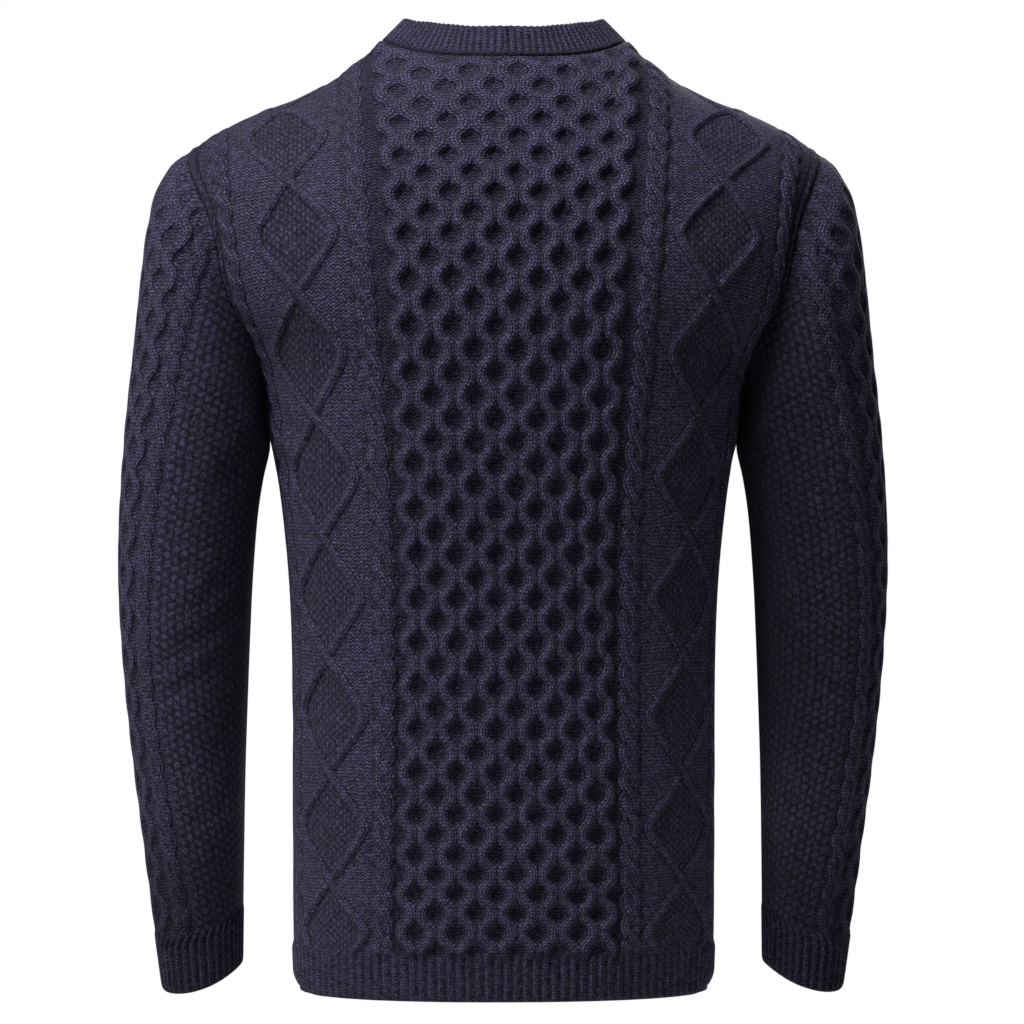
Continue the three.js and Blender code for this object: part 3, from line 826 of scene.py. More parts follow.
# %% [markdown]
# ## Back and front
#
# The motifs are laid side by side from the middle out: honeycomb, a purl channel, a rope, diamonds
# of moss on a purl ground, and a side rope that follows the armhole. The body's ropes all slant
# the same way. Each motif has a zone with soft ends, and heights are blended from zone to zone.

# %% Heights of the relief
HONEYCOMB_RISE, HONEYCOMB_FLOOR = 5.1, -2.6
ROPE_RISE, CHANNEL_FLOOR, SIDE_FLOOR = 3.9, -1.8, -1.7
GROUND_LEVEL = -0.8
RIDGE_RISE = 2.5
RIB_RISE = 2.6
STITCH_WIDTH = 3.7
SIDE_ROPE_FROM_SEAM = 20.5
EDGE_BAND = 8.0                  # plain edge stitches along the armhole
UNDERARM_PRESS = 3.3             # how far cloth meets cloth under the arm
ARMPIT_Z, CAP_Z = -264.0, -135.0  # where the arm meets the body, and where its cap begins
HEM_PAINTED_SHADE, CUFF_PAINTED_SHADE = 0.20, 0.60   # painted shade that darkens the welt and the cuffs
NO_LINE = 6.0                    # farther than this from an edge line, no painted outline shade darkens
CHANNEL_LINE = 2.5               # a channel counts as lying this near to one
LINE_REACH = 8.0


def zone(value, low, high, soft=1.5):
    """1 between low and high, 0 outside, with soft ends."""
    return soft_step((value - low) / soft + 0.5) * soft_step((high - value) / soft + 0.5)


def up_to(value, high):
    """1 for a distance up to high, 0 beyond it, with a soft end."""
    return zone(value, -20, high)


print("the honeycomb stands", round(HONEYCOMB_RISE + HONEYCOMB_FLOOR, 1), "mm above mean level")

# %% Relief of a body panel
def body_relief(points, across, up, x_sign):
    """Relief, wale, strand, row, moss, painted crease shade and edge line of the half panel towards
    x_sign.
    """
    z = points[..., 2]
    signed = x_sign * across
    half_cell = half_cells(up) + ROW_UNEVEN * soft_noise(signed, up, ROW_LUMP, seed=3)
    rows = half_cell * ROWS_PER_HALF_CELL
    cell = cell_width(z)
    edge = across[:, -1:]
    wander = WALE_UNEVEN * soft_noise(signed, up, WALE_LUMP, seed=4)
    wander = wander * soft_step((across - HALF_COMB * cell) / 6)
    across = across + x_sign * wander
    # honeycomb, with its own wales
    comb, comb_wale, comb_shade, comb_cover, comb_line = honeycomb(
        x_sign * across, half_cell, cell, BODY_STRANDS, row_height(up),
        1.10 + 0.16 * soft_step((up - 110) / 90))
    comb_zone = up_to(across, HALF_COMB * cell + 2.0)
    # rope and its channels
    rope_off = across - rope_place(z)
    twist, twist_wale, twist_shade, twist_line = rope(rope_off, rows, ROPE_HALF, x_sign)
    rope_zone = up_to(np.abs(rope_off), ROPE_HALF + 1.0)
    # side rope, which keeps close to the armhole
    side_at = side_rope_place(z)
    limit = edge - SIDE_ROPE_FROM_SEAM
    side_at = np.where(up > -30, np.minimum(side_at, mix(side_at, limit,
                                                         soft_step((up + 30) / 60))), side_at)
    side_off = across - side_at
    side, side_wale, side_rope_shade, side_line = rope(side_off, rows + 3, SIDE_ROPE_HALF, x_sign)
    side_zone = up_to(np.abs(side_off), SIDE_ROPE_HALF + 1.0)
    side = side * (1 - 0.45 * soft_step((-40 - up) / 60))
    # diamonds
    off = across - diamond_place(z)
    ridge, ridge_wale, inside, ridge_line = diamonds(off, half_cell, -x_sign)
    ridge_zone = (1 - comb_zone) * (1 - rope_zone) * (1 - side_zone)
    ridge_zone = ridge_zone * (across > rope_place(z)) * (across < side_at)
    moss = np.maximum(inside * ridge_zone, soft_step((across - side_at - SIDE_ROPE_HALF) / 3))
    moss = moss * (1 - ridge) * (1 - side_zone)

    relief = np.full_like(across, GROUND_LEVEL)
    channel = zone(across, HALF_COMB * cell - 1, rope_place(z) - ROPE_HALF + 1)
    relief = mix(relief, CHANNEL_FLOOR, np.maximum(channel, rope_zone))
    relief = mix(relief, SIDE_FLOOR, side_zone)
    relief = mix(relief, HONEYCOMB_FLOOR, comb_zone)
    relief = relief + comb_zone * comb * HONEYCOMB_RISE
    # near the neck the honeycomb is worked firmer and lies flatter
    firm = soft_step((up - 130) / 90) * comb_zone
    relief = mix(relief, 0.7 * relief + 0.2, firm)
    relief = relief + rope_zone * twist * ROPE_RISE + side_zone * side * ROPE_RISE
    relief = relief + ridge_zone * (ridge * RIDGE_RISE - inside * (1 - ridge) * 0.3)

    # painted shade in the honeycomb's cells, the purl channel and the ropes
    painted_crease_shade = comb_zone * comb_shade * (1 - 0.3 * firm) + channel * (1 - rope_zone)
    painted_crease_shade = np.maximum(painted_crease_shade, rope_zone * twist_shade)
    painted_crease_shade = np.maximum(painted_crease_shade, side_zone * side_rope_shade)
    # edge lines, along which the wool paints thin dark outlines of shade
    line = np.where(channel > 0.5, CHANNEL_LINE, NO_LINE)
    line = np.where(ridge_zone > 0.5, ridge_line, line)
    wale = ridge_wale
    for here, its_line, its_wale in ((comb_zone, comb_line, x_sign * comb_wale),
                                     (rope_zone, twist_line, twist_wale),
                                     (side_zone, side_line, side_wale)):
        line = np.where(here > 0.5, its_line, line)
        wale = np.where(here > 0.5, its_wale, wale)
    strand = comb_zone * comb_cover + ridge_zone * soft_step(ridge * 3)
    strand = strand + rope_zone * soft_step(twist * 4) + side_zone * soft_step(side * 4)
    return relief, wale, np.clip(strand, 0, 1), rows, moss, painted_crease_shade, line


# %% [markdown]
# ## Ribbing, seams and hem
#
# The welt and the cuffs are one-and-one rib: a knit wale stands up, and a purl wale sinks between
# two of them. They are knitted in one with their panels, so the ribs take over from the motifs.
# Near a seam all relief sinks, because the edge stitches are turned in and sewn.

# %% Ribs
def ribs(columns, spacing):
    """Height from -1 to 1 and wale of ribs that are spacing columns apart."""
    return np.cos(2 * np.pi * columns / spacing), 0.5 + 2 * columns / spacing


def add_ribs(cloth, ribbed, wave, rib_wale, height, edge_distance):
    """Lets ribs take over a cloth's relief, painted crease shade, wale, strand and moss where
    ribbed is 1.
    """
    relief, painted_crease_shade, wale, strand, moss = cloth
    ridges = RIB_RISE * (wave - 1) / 2 * soft_step((edge_distance + 1) / 6)
    relief = mix(relief, ridges + height, ribbed)
    # painted shade in the purl valleys between the ribs
    painted_crease_shade = mix(painted_crease_shade, np.clip(-wave, 0, 1) * 0.85, ribbed)
    wale = np.where(ribbed > 0.5, rib_wale, wale)
    strand = mix(strand, soft_step(wave + 0.6), ribbed)
    return relief, painted_crease_shade, wale, strand, moss * (1 - ribbed)


# %% Sewn edges
SEAM_SINK = -0.9                 # the cloth's level where it is turned in and sewn
HEM_ROUND, HEM_DRAW = 2.2, 5.5   # how far the hem rounds off, and draws in at the sides


def round_hem(relief, to_hem, to_side):
    """Rounds off the welt's lower edge, which draws in at the sides."""
    at_side = 1 - soft_step((to_side - 20) / 45)
    relief = relief - HEM_ROUND * np.exp(-to_hem / 1.6)
    return relief - HEM_DRAW * np.clip(1 - to_hem / 15, 0, 1) ** 2 * at_side


def finish_edges(relief, painted_crease_shade, points, to_side, to_top, armhole_share):
    """Sinks the relief at the seams, raises the sewn ridge along the armhole and rounds the hem."""
    z = points[..., 2]
    near_top = bell(to_top, 3.0)
    relief = mix(relief, SEAM_SINK, np.maximum(bell(to_side, 3.0), near_top))
    on_neck = 1 - soft_step((points[-1:, :, 0] - SIDE_NECK_X + 10) / 8)
    relief = mix(relief, -0.6, bell(to_top, 7.0, 4) * on_neck)
    dip = bell(points[..., 0] - 142, 20) * bell(to_top, 30)
    relief = relief - 2.6 * dip
    # over the shoulder the cloth is stretched, so its pattern lies flatter
    on_shoulder = soft_step((points[-1:, :, 0] - SIDE_NECK_X + 6) / 12)
    stretched = bell(to_top, 24.0) * on_shoulder
    relief = mix(relief, 0.15 * relief - 0.4, stretched)
    head = 1 - 0.7 * soft_step((z - CAP_Z) / 45)
    ridge = bell(to_side - 0.5 * EDGE_BAND, 2.6) * armhole_share
    flat = bell(to_side, EDGE_BAND, 6) * armhole_share
    relief = mix(relief, SEAM_SINK, flat) + 2.6 * ridge * head
    groove = bell(to_side - EDGE_BAND - 0.8, 1.7) * armhole_share
    relief = relief - 1.6 * groove * head
    # cloth meets cloth under the arm
    pressed = bell(z - ARMPIT_Z, 34) * bell(to_side, 16)
    relief = relief + UNDERARM_PRESS * pressed
    # painted shade: none on the flat edge band, thin dark lines at the side seam, the neck seam and
    # in the armhole's groove
    painted_crease_shade = mix(painted_crease_shade, 0.0, flat)
    painted_crease_shade = np.maximum(painted_crease_shade, bell(to_side, 1.9))
    painted_crease_shade = np.maximum(painted_crease_shade, 0.8 * bell(to_top, 1.6))
    painted_crease_shade = np.maximum(painted_crease_shade, groove)
    return round_hem(relief, z - HEM_Z, to_side), painted_crease_shade


# %% [markdown]
# ## The two body panels
#
# Points are moved along the cloth's own normals. Where two pieces meet, both use one direction, so
# that their edges stay the same small gap apart. The other half of each panel is its mirror image,
# but for the slant of the ropes and an unevenness of its own.

# %% Directions that the relief moves in
def body_normals(side, points):
    normals = grid_normals(points)
    normals *= np.sign(normals[:, 0, 1].sum()) * SIDE_SIGN[side]
    # edges shared with other pieces get the directions that their neighbours use
    low = LOWER_STEPS
    normals[:, 0, 0] = 0
    normals[:low, -1] = (1, 0, 0)
    normals[low:, -1] = away_from_armhole(points[low:, -1])
    top_x = points[-1, :, 0]
    slope = (ridge_at(top_x + 1) - ridge_at(top_x - 1)) / 2
    over = np.stack([-slope, 0 * slope, np.ones_like(slope)], -1)
    on_shoulder = top_x >= SIDE_NECK_X - 0.5
    normals[-1, on_shoulder] = over[on_shoulder]
    for _ in range(3):
        soft = normals.copy()
        soft[1:-1, 1:-1] = (normals[1:-1, 1:-1] * 2 + normals[:-2, 1:-1] + normals[2:, 1:-1]
                            + normals[1:-1, :-2] + normals[1:-1, 2:])
        normals = unit(soft)
    return normals


# %% Back and front panels
def body_panel(side):
    """The back or the front, with both halves of its pattern."""
    points, across, up = half_panels[side]
    normals = body_normals(side, points)
    halves = []
    to_side = across[:, -1:] - across
    to_top = up[-1:, :] - up
    to_hem = points[..., 2] - HEM_Z
    armhole_share = soft_step((up + 6) / 20)
    columns_off = np.arange(HALF_COLUMNS + 1)[None, :] * np.ones((len(points), 1))
    for x_sign in (-1.0, 1.0):
        relief, wale, strand, rows, moss, painted_crease_shade, line = body_relief(points, across, up, x_sign)
        wave, rib_wale = ribs(columns_off, RIB_COLUMNS)
        ribbed = 1 - soft_step((points[..., 2] - RIB_Z) / 7 + 0.5)
        cloth = (relief, painted_crease_shade, wale, strand, moss)
        relief, painted_crease_shade, wale, strand, moss = add_ribs(cloth, ribbed, wave, rib_wale, 0.6, to_hem)
        # painted shade on the welt's ribbing
        dim = HEM_PAINTED_SHADE * ribbed
        relief, painted_crease_shade = finish_edges(relief, painted_crease_shade, points, to_side, to_top, armhole_share)
        # an edge line for painted outline shade along the armhole seam
        seam_line = np.abs(to_side - EDGE_BAND - 0.4) + 8 * (1 - armhole_share)
        line = np.where(to_side < EDGE_BAND, seam_line, np.minimum(line, seam_line))
        line = mix(line, NO_LINE, ribbed)
        relief = relief + creases(x_sign * across, up, BODY_CREASES)
        base = points.copy()
        base[..., 0] *= x_sign
        outward = normals.copy()
        outward[..., 0] *= x_sign
        halves.append((base, outward, relief, np.stack([x_sign * wale, rows, strand], -1),
                       np.stack([x_sign * across, up, np.clip(line, -LINE_REACH, LINE_REACH)], -1),
                       np.stack([painted_crease_shade, moss, dim], -1)))
    left, right = halves
    whole = [np.concatenate([a[:, :0:-1], b], axis=1) for a, b in zip(left, right)]
    cut = (2 * float(across[:, -1].max()) * MM, float(up[-1].max() - up[0].min()) * MM,
           2 * flat_area(points))
    print(f"{side}: {cut[0]:.3f} m wide, {cut[1]:.3f} m long, {cut[2]:.4f} m2")
    return shell_piece(f"{side}_panel", *whole, looped=False), cut


back_panel, back_cut = body_panel("back")
front_panel, front_cut = body_panel("front")

# %% [markdown]
# ## Sleeves
#
# A set-in sleeve is a tube that starts as the armhole and narrows to the wrist. Its pattern is
# centred on the outer side of the arm: a strip of honeycomb, a rope on each side of it and moss
# round to the seam. The rows are counted up from the cuff, as the sleeve is knitted.

# %% The sleeve's sizes
SLEEVE_POWER = 2.15
ARMHOLE_FADE = 0.4
SEAM_GAP = 0.3
SLEEVE = np.array([              # outer x, outer z, inner x, inner z, half depth, middle y
    (226, -75, 172, -242, 52, 0), (239, -86, 173.3, -251, 55.5, 0),
    (249.5, -105, 172.6, -263, 59, 0), (255.5, -133, 170.6, -276, 61.5, 0),
    (260, -172, 169.4, -290, 63, 0), (265, -220, 172.6, -310, 62, -1),
    (271, -275, 176.4, -340, 60.5, -2), (275, -335, 179.6, -382, 58, -3),
    (275.5, -390, 181.6, -424, 55.5, -4), (272, -450, 183.4, -470, 52, -6),
    (266, -510, 185, -518, 48, -8), (258.5, -570, 186, -568, 44, -11),
    (250.5, -634, 186.8, -617, 39, -15), (244.5, -679, 187.5, -661, 36.5, -18),
])
sleeve_values = [smooth_curve(np.arange(len(SLEEVE)), SLEEVE[:, i]) for i in range(6)]
SLEEVE_ROWS = 320
COMB_COLUMNS, SLEEVE_ROPE_COLUMNS, MOSS_COLUMNS = 22, 20, 66
SLEEVE_HALF_COLUMNS = COMB_COLUMNS + SLEEVE_ROPE_COLUMNS + MOSS_COLUMNS
SLEEVE_STRANDS = 2
SLEEVE_CELL = 28.0
SLEEVE_HALF_CELL = 15.0
SLEEVE_COMB_HALF = SLEEVE_CELL * 1.25
SLEEVE_ROPE = 45.5
SLEEVE_ROPE_HALF = 7.0
CUFF_HEIGHT = 43.0
CUFF_RIB_COLUMNS = 6
CUFF_BOW = 5.5
SLEEVE_LENGTH = 616.0
# Height above the cuff, how much wider the pattern is there, and how far it turns to the back.
SLEEVE_LAYOUT = np.array([
    (0, 1.0, 0), (211, 1.0, 0), (300, 1.03, 4), (370, 1.06, 8), (430, 1.08, 11),
    (478, 1.1, 13), (520, 1.13, 15), (560, 1.16, 17), (640, 1.2, 20),
])
sleeve_widening = smooth_curve(SLEEVE_LAYOUT[:, 0], SLEEVE_LAYOUT[:, 1])
sleeve_turning = smooth_curve(SLEEVE_LAYOUT[:, 0], SLEEVE_LAYOUT[:, 2])
print("columns round a sleeve:", 2 * SLEEVE_HALF_COLUMNS)

# %% [markdown]
# ## Rings down the arm
#
# The first ring is the armhole seam itself, and it turns bit by bit into the slanting section of an
# arm. A plain Blender tube along a curve would cut the armhole off flat, so the rings are worked
# out from a table of the arm's outer and inner side instead.

# %% The sleeve's grid
def signed_power(value, power):
    return np.sign(value) * np.abs(value) ** power


def sleeve_ring(share, turn):
    """Points round the sleeve at a share of its length, from the underarm side by the back."""
    outer_x, outer_z, inner_x, inner_z, depth, middle_y = (
        curve(share * (len(SLEEVE) - 1)) for curve in sleeve_values)
    middle = np.array([(outer_x + inner_x) / 2, middle_y, (outer_z + inner_z) / 2])
    across = np.array([inner_x, middle_y, inner_z]) - middle
    ring = middle + signed_power(np.cos(turn), 2 / SLEEVE_POWER)[:, None] * across
    ring[:, 1] += depth * signed_power(np.sin(turn), 2 / SLEEVE_POWER)
    return ring


def sleeve_grid():
    """Points, distances round from the outer side and heights above the cuff, for +X."""
    turn = np.linspace(0, 2 * np.pi, 721)
    middle = len(turn) // 2
    seam = armhole_points("back", np.minimum(turn, np.pi))
    seam[middle:] = armhole_points("front", 2 * np.pi - turn[middle:])
    outward = np.array([SHOULDER_Z - UNDERARM_Z, 0, 172 - SHOULDER_X])
    seam = seam + SEAM_GAP * outward / np.linalg.norm(outward)
    first = sleeve_ring(0.0, turn)
    half = SLEEVE_HALF_COLUMNS
    knots = [0, SLEEVE_COMB_HALF + 1.0, SLEEVE_ROPE + SLEEVE_ROPE_HALF + 3.0]
    knot_at = [0, COMB_COLUMNS, COMB_COLUMNS + SLEEVE_ROPE_COLUMNS]
    points, around = [], []
    for row in range(SLEEVE_ROWS + 1):
        share = row / SLEEVE_ROWS
        keep = max(1 - share / ARMHOLE_FADE, 0) ** 2
        ring = sleeve_ring(share, turn) + (seam - first) * keep
        # the cuff's edge bows down between its two sides
        ring[:, 2] -= CUFF_BOW * np.sin(turn) ** 2 * soft_step((share - 0.85) / 0.15)
        reach = lengths_along(ring)
        reach = reach[middle] - reach           # 0 at the outer side, positive towards the back
        cuff = soft_step((share - 0.915) / 0.03)
        height = SLEEVE_LENGTH * (1 - share)
        wider, turned = sleeve_widening(height), sleeve_turning(height)
        places = []
        for end, way in ((reach[0], 1), (-reach[-1], -1)):
            stops = [wider * knot for knot in knots] + [end - way * turned]
            patterned = np.interp(np.arange(half + 1), knot_at + [half], stops)
            even = np.linspace(0, end - way * turned, half + 1)
            places.append(turned + way * mix(patterned, even, cuff))
        line = np.concatenate([places[0][::-1], places[1][1:-1]])
        points.append(read_line(line, reach[::-1], ring[::-1]))
        around.append(line)
    points = np.array(points)[::-1]
    around = np.array(around)[::-1]
    return points, around, lengths_along(points)


# %% [markdown]
# ## Wales up the arm
#
# Wales run straight up the arm and end at the armhole one after another. So they are counted round
# level sections of the arm, not along the slanting rings of the mesh.

# %% Level distances
def level_distances(points, levels=240):
    """Level distance of each point round the sleeve from its outer side, positive to the back."""
    heights = np.linspace(points[..., 2].min(), points[..., 2].max(), levels)
    rows, columns = points.shape[:2]
    climbing = np.maximum.accumulate(points[..., 2], axis=0)
    x = np.stack([np.interp(heights, climbing[:, c], points[:, c, 0]) for c in range(columns)], 1)
    y = np.stack([np.interp(heights, climbing[:, c], points[:, c, 1]) for c in range(columns)], 1)
    steps = np.hypot(np.diff(x, axis=1), np.diff(y, axis=1))
    middle = columns // 2
    to_back = np.cumsum(steps[:, middle:], axis=1)
    to_front = np.cumsum(steps[:, :middle][:, ::-1], axis=1)[:, ::-1]
    reach = np.concatenate([to_front, np.zeros((levels, 1)), to_back], axis=1)
    past_middle = np.sign(np.arange(columns) - middle)
    to_the_back = np.sign(points[0, middle + 5, 1] - points[0, middle - 5, 1])
    reach = reach * past_middle * to_the_back
    level = np.zeros((rows, columns))
    for c in range(columns):
        known = heights <= climbing[-1, c]
        level[:, c] = np.interp(climbing[:, c], heights[known], reach[known, c])
    return level


# %% Directions that the sleeve's relief moves in
def sleeve_normals(points):
    """Directions that the sleeve's relief moves in, with the armhole's own ones at the seam."""
    normals = grid_normals(points, looped=True)
    middles = points.mean(axis=1, keepdims=True)
    normals *= np.sign(np.sum(normals * (points - middles)))
    normals[-1] = away_from_armhole(points[-1])
    for _ in range(3):
        rolled = np.roll(normals, 1, axis=1) + np.roll(normals, -1, axis=1)
        soft = normals * 2 + rolled
        soft[1:-1] += normals[:-2] + normals[2:]
        soft[-1] = normals[-1]
        normals = unit(soft)
    return normals


# %% [markdown]
# ## Relief of a sleeve
#
# The sleeve uses the body's own motifs at a smaller size. The same functions make them, so the hand
# of the knitter is the same on both.

# %% Motifs on a sleeve
def sleeve_relief(points, around, up, rope_sense):
    """Relief, painted crease shade, wale, strand and moss, then distance across, rows and edge
    line.
    """
    level = level_distances(points)
    height = points[..., 2] - points[0, :, 2].min()
    across = (level - sleeve_turning(height)) / sleeve_widening(height)
    across = mix(across, around, 1 - soft_step((up - CUFF_HEIGHT) / 30))
    half_cell = height / SLEEVE_HALF_CELL + ROW_UNEVEN * soft_noise(across, up, ROW_LUMP, seed=5)
    rows = half_cell * ROWS_PER_HALF_CELL
    wander = WALE_UNEVEN * soft_noise(across, up, WALE_LUMP, seed=6)
    across = across + wander * soft_step((np.abs(across) - 36) / 6)
    comb, comb_wale, comb_shade, comb_cover, comb_line = honeycomb(
        across, half_cell, SLEEVE_CELL * np.ones_like(up), SLEEVE_STRANDS, SLEEVE_HALF_CELL,
        1.15)
    comb_zone = up_to(np.abs(across), SLEEVE_COMB_HALF + 1.0)
    rope_off = np.abs(across) - SLEEVE_ROPE
    twist, twist_wale, twist_shade, twist_line = rope(
        rope_off, rows, SLEEVE_ROPE_HALF, rope_sense)
    rope_zone = up_to(np.abs(rope_off), SLEEVE_ROPE_HALF + 1.0)
    moss = soft_step((np.abs(across) - SLEEVE_ROPE - SLEEVE_ROPE_HALF - 2) / 3)
    relief = np.full_like(up, GROUND_LEVEL)
    channel = zone(np.abs(across), SLEEVE_COMB_HALF - 1, SLEEVE_ROPE + SLEEVE_ROPE_HALF + 2.5)
    relief = mix(relief, CHANNEL_FLOOR + 0.2, channel)
    relief = mix(relief, HONEYCOMB_FLOOR + 1.0, comb_zone)
    relief = relief + comb_zone * comb * (HONEYCOMB_RISE - 2.0)
    line = np.where(comb_zone > 0.5, comb_line, np.where(rope_zone > 0.5, twist_line, NO_LINE))
    relief = relief + rope_zone * twist * (ROPE_RISE - 0.8)
    # painted shade in the honeycomb's cells, the channels and the rope
    painted_crease_shade = np.maximum(comb_zone * comb_shade * 0.65, channel * (1 - rope_zone) * 0.6)
    painted_crease_shade = np.maximum(painted_crease_shade, rope_zone * twist_shade)
    wale = np.where(comb_zone > 0.5, comb_wale, twist_wale)
    strand = np.clip(comb_zone * comb_cover + rope_zone * soft_step(twist * 4), 0, 1)
    return (relief, painted_crease_shade, wale, strand, moss), across, rows, line


# %% [markdown]
# ## The two sleeves
#
# The cap is eased into the armhole, so the pattern lies flatter there, and the cuff stands off the
# wrist. Between sleeve and body little light comes in, so that side carries a mask of painted shade
# that darkens the wool, wider on the side away from the main lamp. The cuffs get painted shade too.

# %% Sleeves
# width and depth of the painted shade on each sleeve's inner side; the side away from the main lamp
# gets more
INNER_SHADE_WIDTH = {"left": 0.42, "right": 0.55}
INNER_SHADE_DEPTH = {"left": 0.76, "right": 0.94}
CAP_SINK = -0.7


def sleeve_piece(side):
    points, around, up = sleeve_grid()
    normals = sleeve_normals(points)
    cloth, across, rows, line = sleeve_relief(points, around, up, 1.0 if side == "left" else -1.0)
    columns = np.arange(points.shape[1])[None, :] - SLEEVE_HALF_COLUMNS
    wave, rib_wale = ribs(columns, CUFF_RIB_COLUMNS)
    ribbed = 1 - soft_step((up - CUFF_HEIGHT) / 6 + 0.5)
    # the cuff stands off the wrist on its outer side
    inner_share = (points[..., 0] - points[..., 0].min(axis=1, keepdims=True))
    inner_share = inner_share / np.ptp(points[..., 0], axis=1)[:, None]
    stand_off = mix(-0.3, 1.9, soft_step(inner_share))
    relief, painted_crease_shade, wale, strand, moss = add_ribs(cloth, ribbed, wave, rib_wale, stand_off, up)

    to_seam = up[-1:] - up
    z = points[..., 2]
    head = 1 - 0.8 * soft_step((points[-1:, :, 2] - CAP_Z) / 45)
    calm = bell(to_seam, 50.0) * (1 - head)
    relief = mix(relief, 0.3 * relief - 0.7, calm)
    # less painted shade on the eased cap
    painted_crease_shade = painted_crease_shade * (1 - 0.6 * calm)
    line = line + np.sign(line) * 1.6 * calm
    at_seam = bell(to_seam, 4.0, 4)
    relief = mix(relief, CAP_SINK, at_seam)
    column = np.arange(points.shape[1])
    from_under = np.minimum(column, len(column) - column)
    pressed = bell(z - ARMPIT_Z, 36) * bell(from_under[None] * 2.6, 24)
    relief = relief + UNDERARM_PRESS * pressed
    # painted shade: none on the sewn edge of the cap, a thin dark line at the seam
    painted_crease_shade = mix(painted_crease_shade, 0.0, at_seam)
    painted_crease_shade = np.maximum(painted_crease_shade, 0.9 * bell(to_seam, 1.3))
    relief = relief - 2.0 * np.exp(-up / 1.6)
    # sleeve and body keep the light from each other: painted shade on the inner side, and on the
    # cuff
    inner_side_shade = bell(inner_share, INNER_SHADE_WIDTH[side])
    dim = INNER_SHADE_DEPTH[side] * inner_side_shade * soft_step((up - 60) / 160)
    dim = dim * soft_step((-105 - z) / 90)
    dim = np.maximum(dim, CUFF_PAINTED_SHADE * (1 - soft_step((up - CUFF_HEIGHT) / 120)))
    # painted shade down the underarm seam
    painted_crease_shade[:, from_under < 1] = 1.0
    relief = relief + creases(across, up, SLEEVE_CREASES)

    if side == "right":
        points[..., 0] *= -1
        normals[..., 0] *= -1
    stitch = np.stack([wale, rows, strand], -1)
    line = mix(line, NO_LINE, ribbed)
    place = np.stack([across, up, np.clip(line, -LINE_REACH, LINE_REACH)], -1)
    shade = np.stack([painted_crease_shade, moss, dim], -1)
    cut = (float(np.ptp(around[-1])) * MM, float(up[-1].max()) * MM, flat_area(points, True))
    name = f"{side}_sleeve"
    return shell_piece(name, points, normals, relief, stitch, place, shade, looped=True), cut


SLEEVE_CREASES = [
    (92, 250, 34, 9, 24, 2.2), (84, 222, 30, 8, 10, 1.7), (98, 278, 26, 8, 38, 1.6),
    (-88, 244, 36, 9, -22, 2.3), (-96, 272, 28, 8, -36, 1.5), (-80, 216, 28, 7, -8, 1.4),
    (112, 372, 30, 9, 42, 1.8), (-110, 368, 30, 9, -44, 1.7), (40, 70, 26, 8, 12, 0.9),
    (-36, 84, 24, 7, -10, 0.8), (70, 120, 26, 9, 16, 0.9),
]
sleeve_left, sleeve_cut = sleeve_piece("left")
sleeve_right, _ = sleeve_piece("right")
print(f"a sleeve: {sleeve_cut[0]:.3f} m round the top, {sleeve_cut[1]:.3f} m long, "
      f"{sleeve_cut[2]:.4f} m2")

# %% [markdown]
# ## Neckband
#
# The neckband is a strip of one-and-one rib, folded double and linked to the neck edge. It leans in
# towards the neck. Its section is a flat loop with a rounded fold at the top, swept round the seam.

# %% The folded neckband
BAND_HEIGHT, BAND_CLOTH = 24.0, 5.0
LEAN = {"back": 26.0, "front": 38.0}
SIDE_LEAN = 45.0
BAND_BACK_COLUMNS, BAND_FRONT_COLUMNS = 96, 120
BAND_RIB_COLUMNS = 4
BAND_RIB_RISE = 1.7
BAND_ROW = 2.5                   # one knitted row of the band, in millimetres


def neck_line(side, steps):
    """Even steps along half the neck seam, from the middle to the side neck point."""
    turn = np.linspace(0, np.pi / 2, 481)
    x = SIDE_NECK_X * np.sin(turn)
    points = on_torso(side, x, neck_height(side, x))
    points[-1] = (SIDE_NECK_X, 0, SIDE_NECK_Z)
    reach = lengths_along(points)
    return read_line(np.linspace(0, reach[-1], steps + 1), reach, points)


def band_frames():
    """Points round the neck seam with the way the band rises and the way into the opening."""
    back = neck_line("back", BAND_BACK_COLUMNS)
    front = neck_line("front", BAND_FRONT_COLUMNS)
    flip = np.array([-1, 1, 1])
    loop = np.concatenate([back, front[-2::-1], front[1:-1] * flip, (back * flip)[:0:-1]])
    lean_middle = np.where(loop[:, 1] > 0, LEAN["back"], LEAN["front"])
    lean = np.radians(mix(lean_middle, SIDE_LEAN, (loop[:, 0] / SIDE_NECK_X) ** 2))
    for _ in range(30):
        lean = (np.roll(lean, 1) + 2 * lean + np.roll(lean, -1)) / 4
    towards = unit(-loop * np.array([1, 1, 0]))
    rise = towards * np.sin(lean)[:, None]
    rise[:, 2] += np.cos(lean)
    along = unit(np.roll(loop, -1, axis=0) - np.roll(loop, 1, axis=0))
    rise = unit(rise - along * np.sum(rise * along, axis=1, keepdims=True))
    inward = np.cross(rise, along)
    inward *= np.sign(np.sum(inward * towards, axis=1, keepdims=True))
    return loop, rise, inward


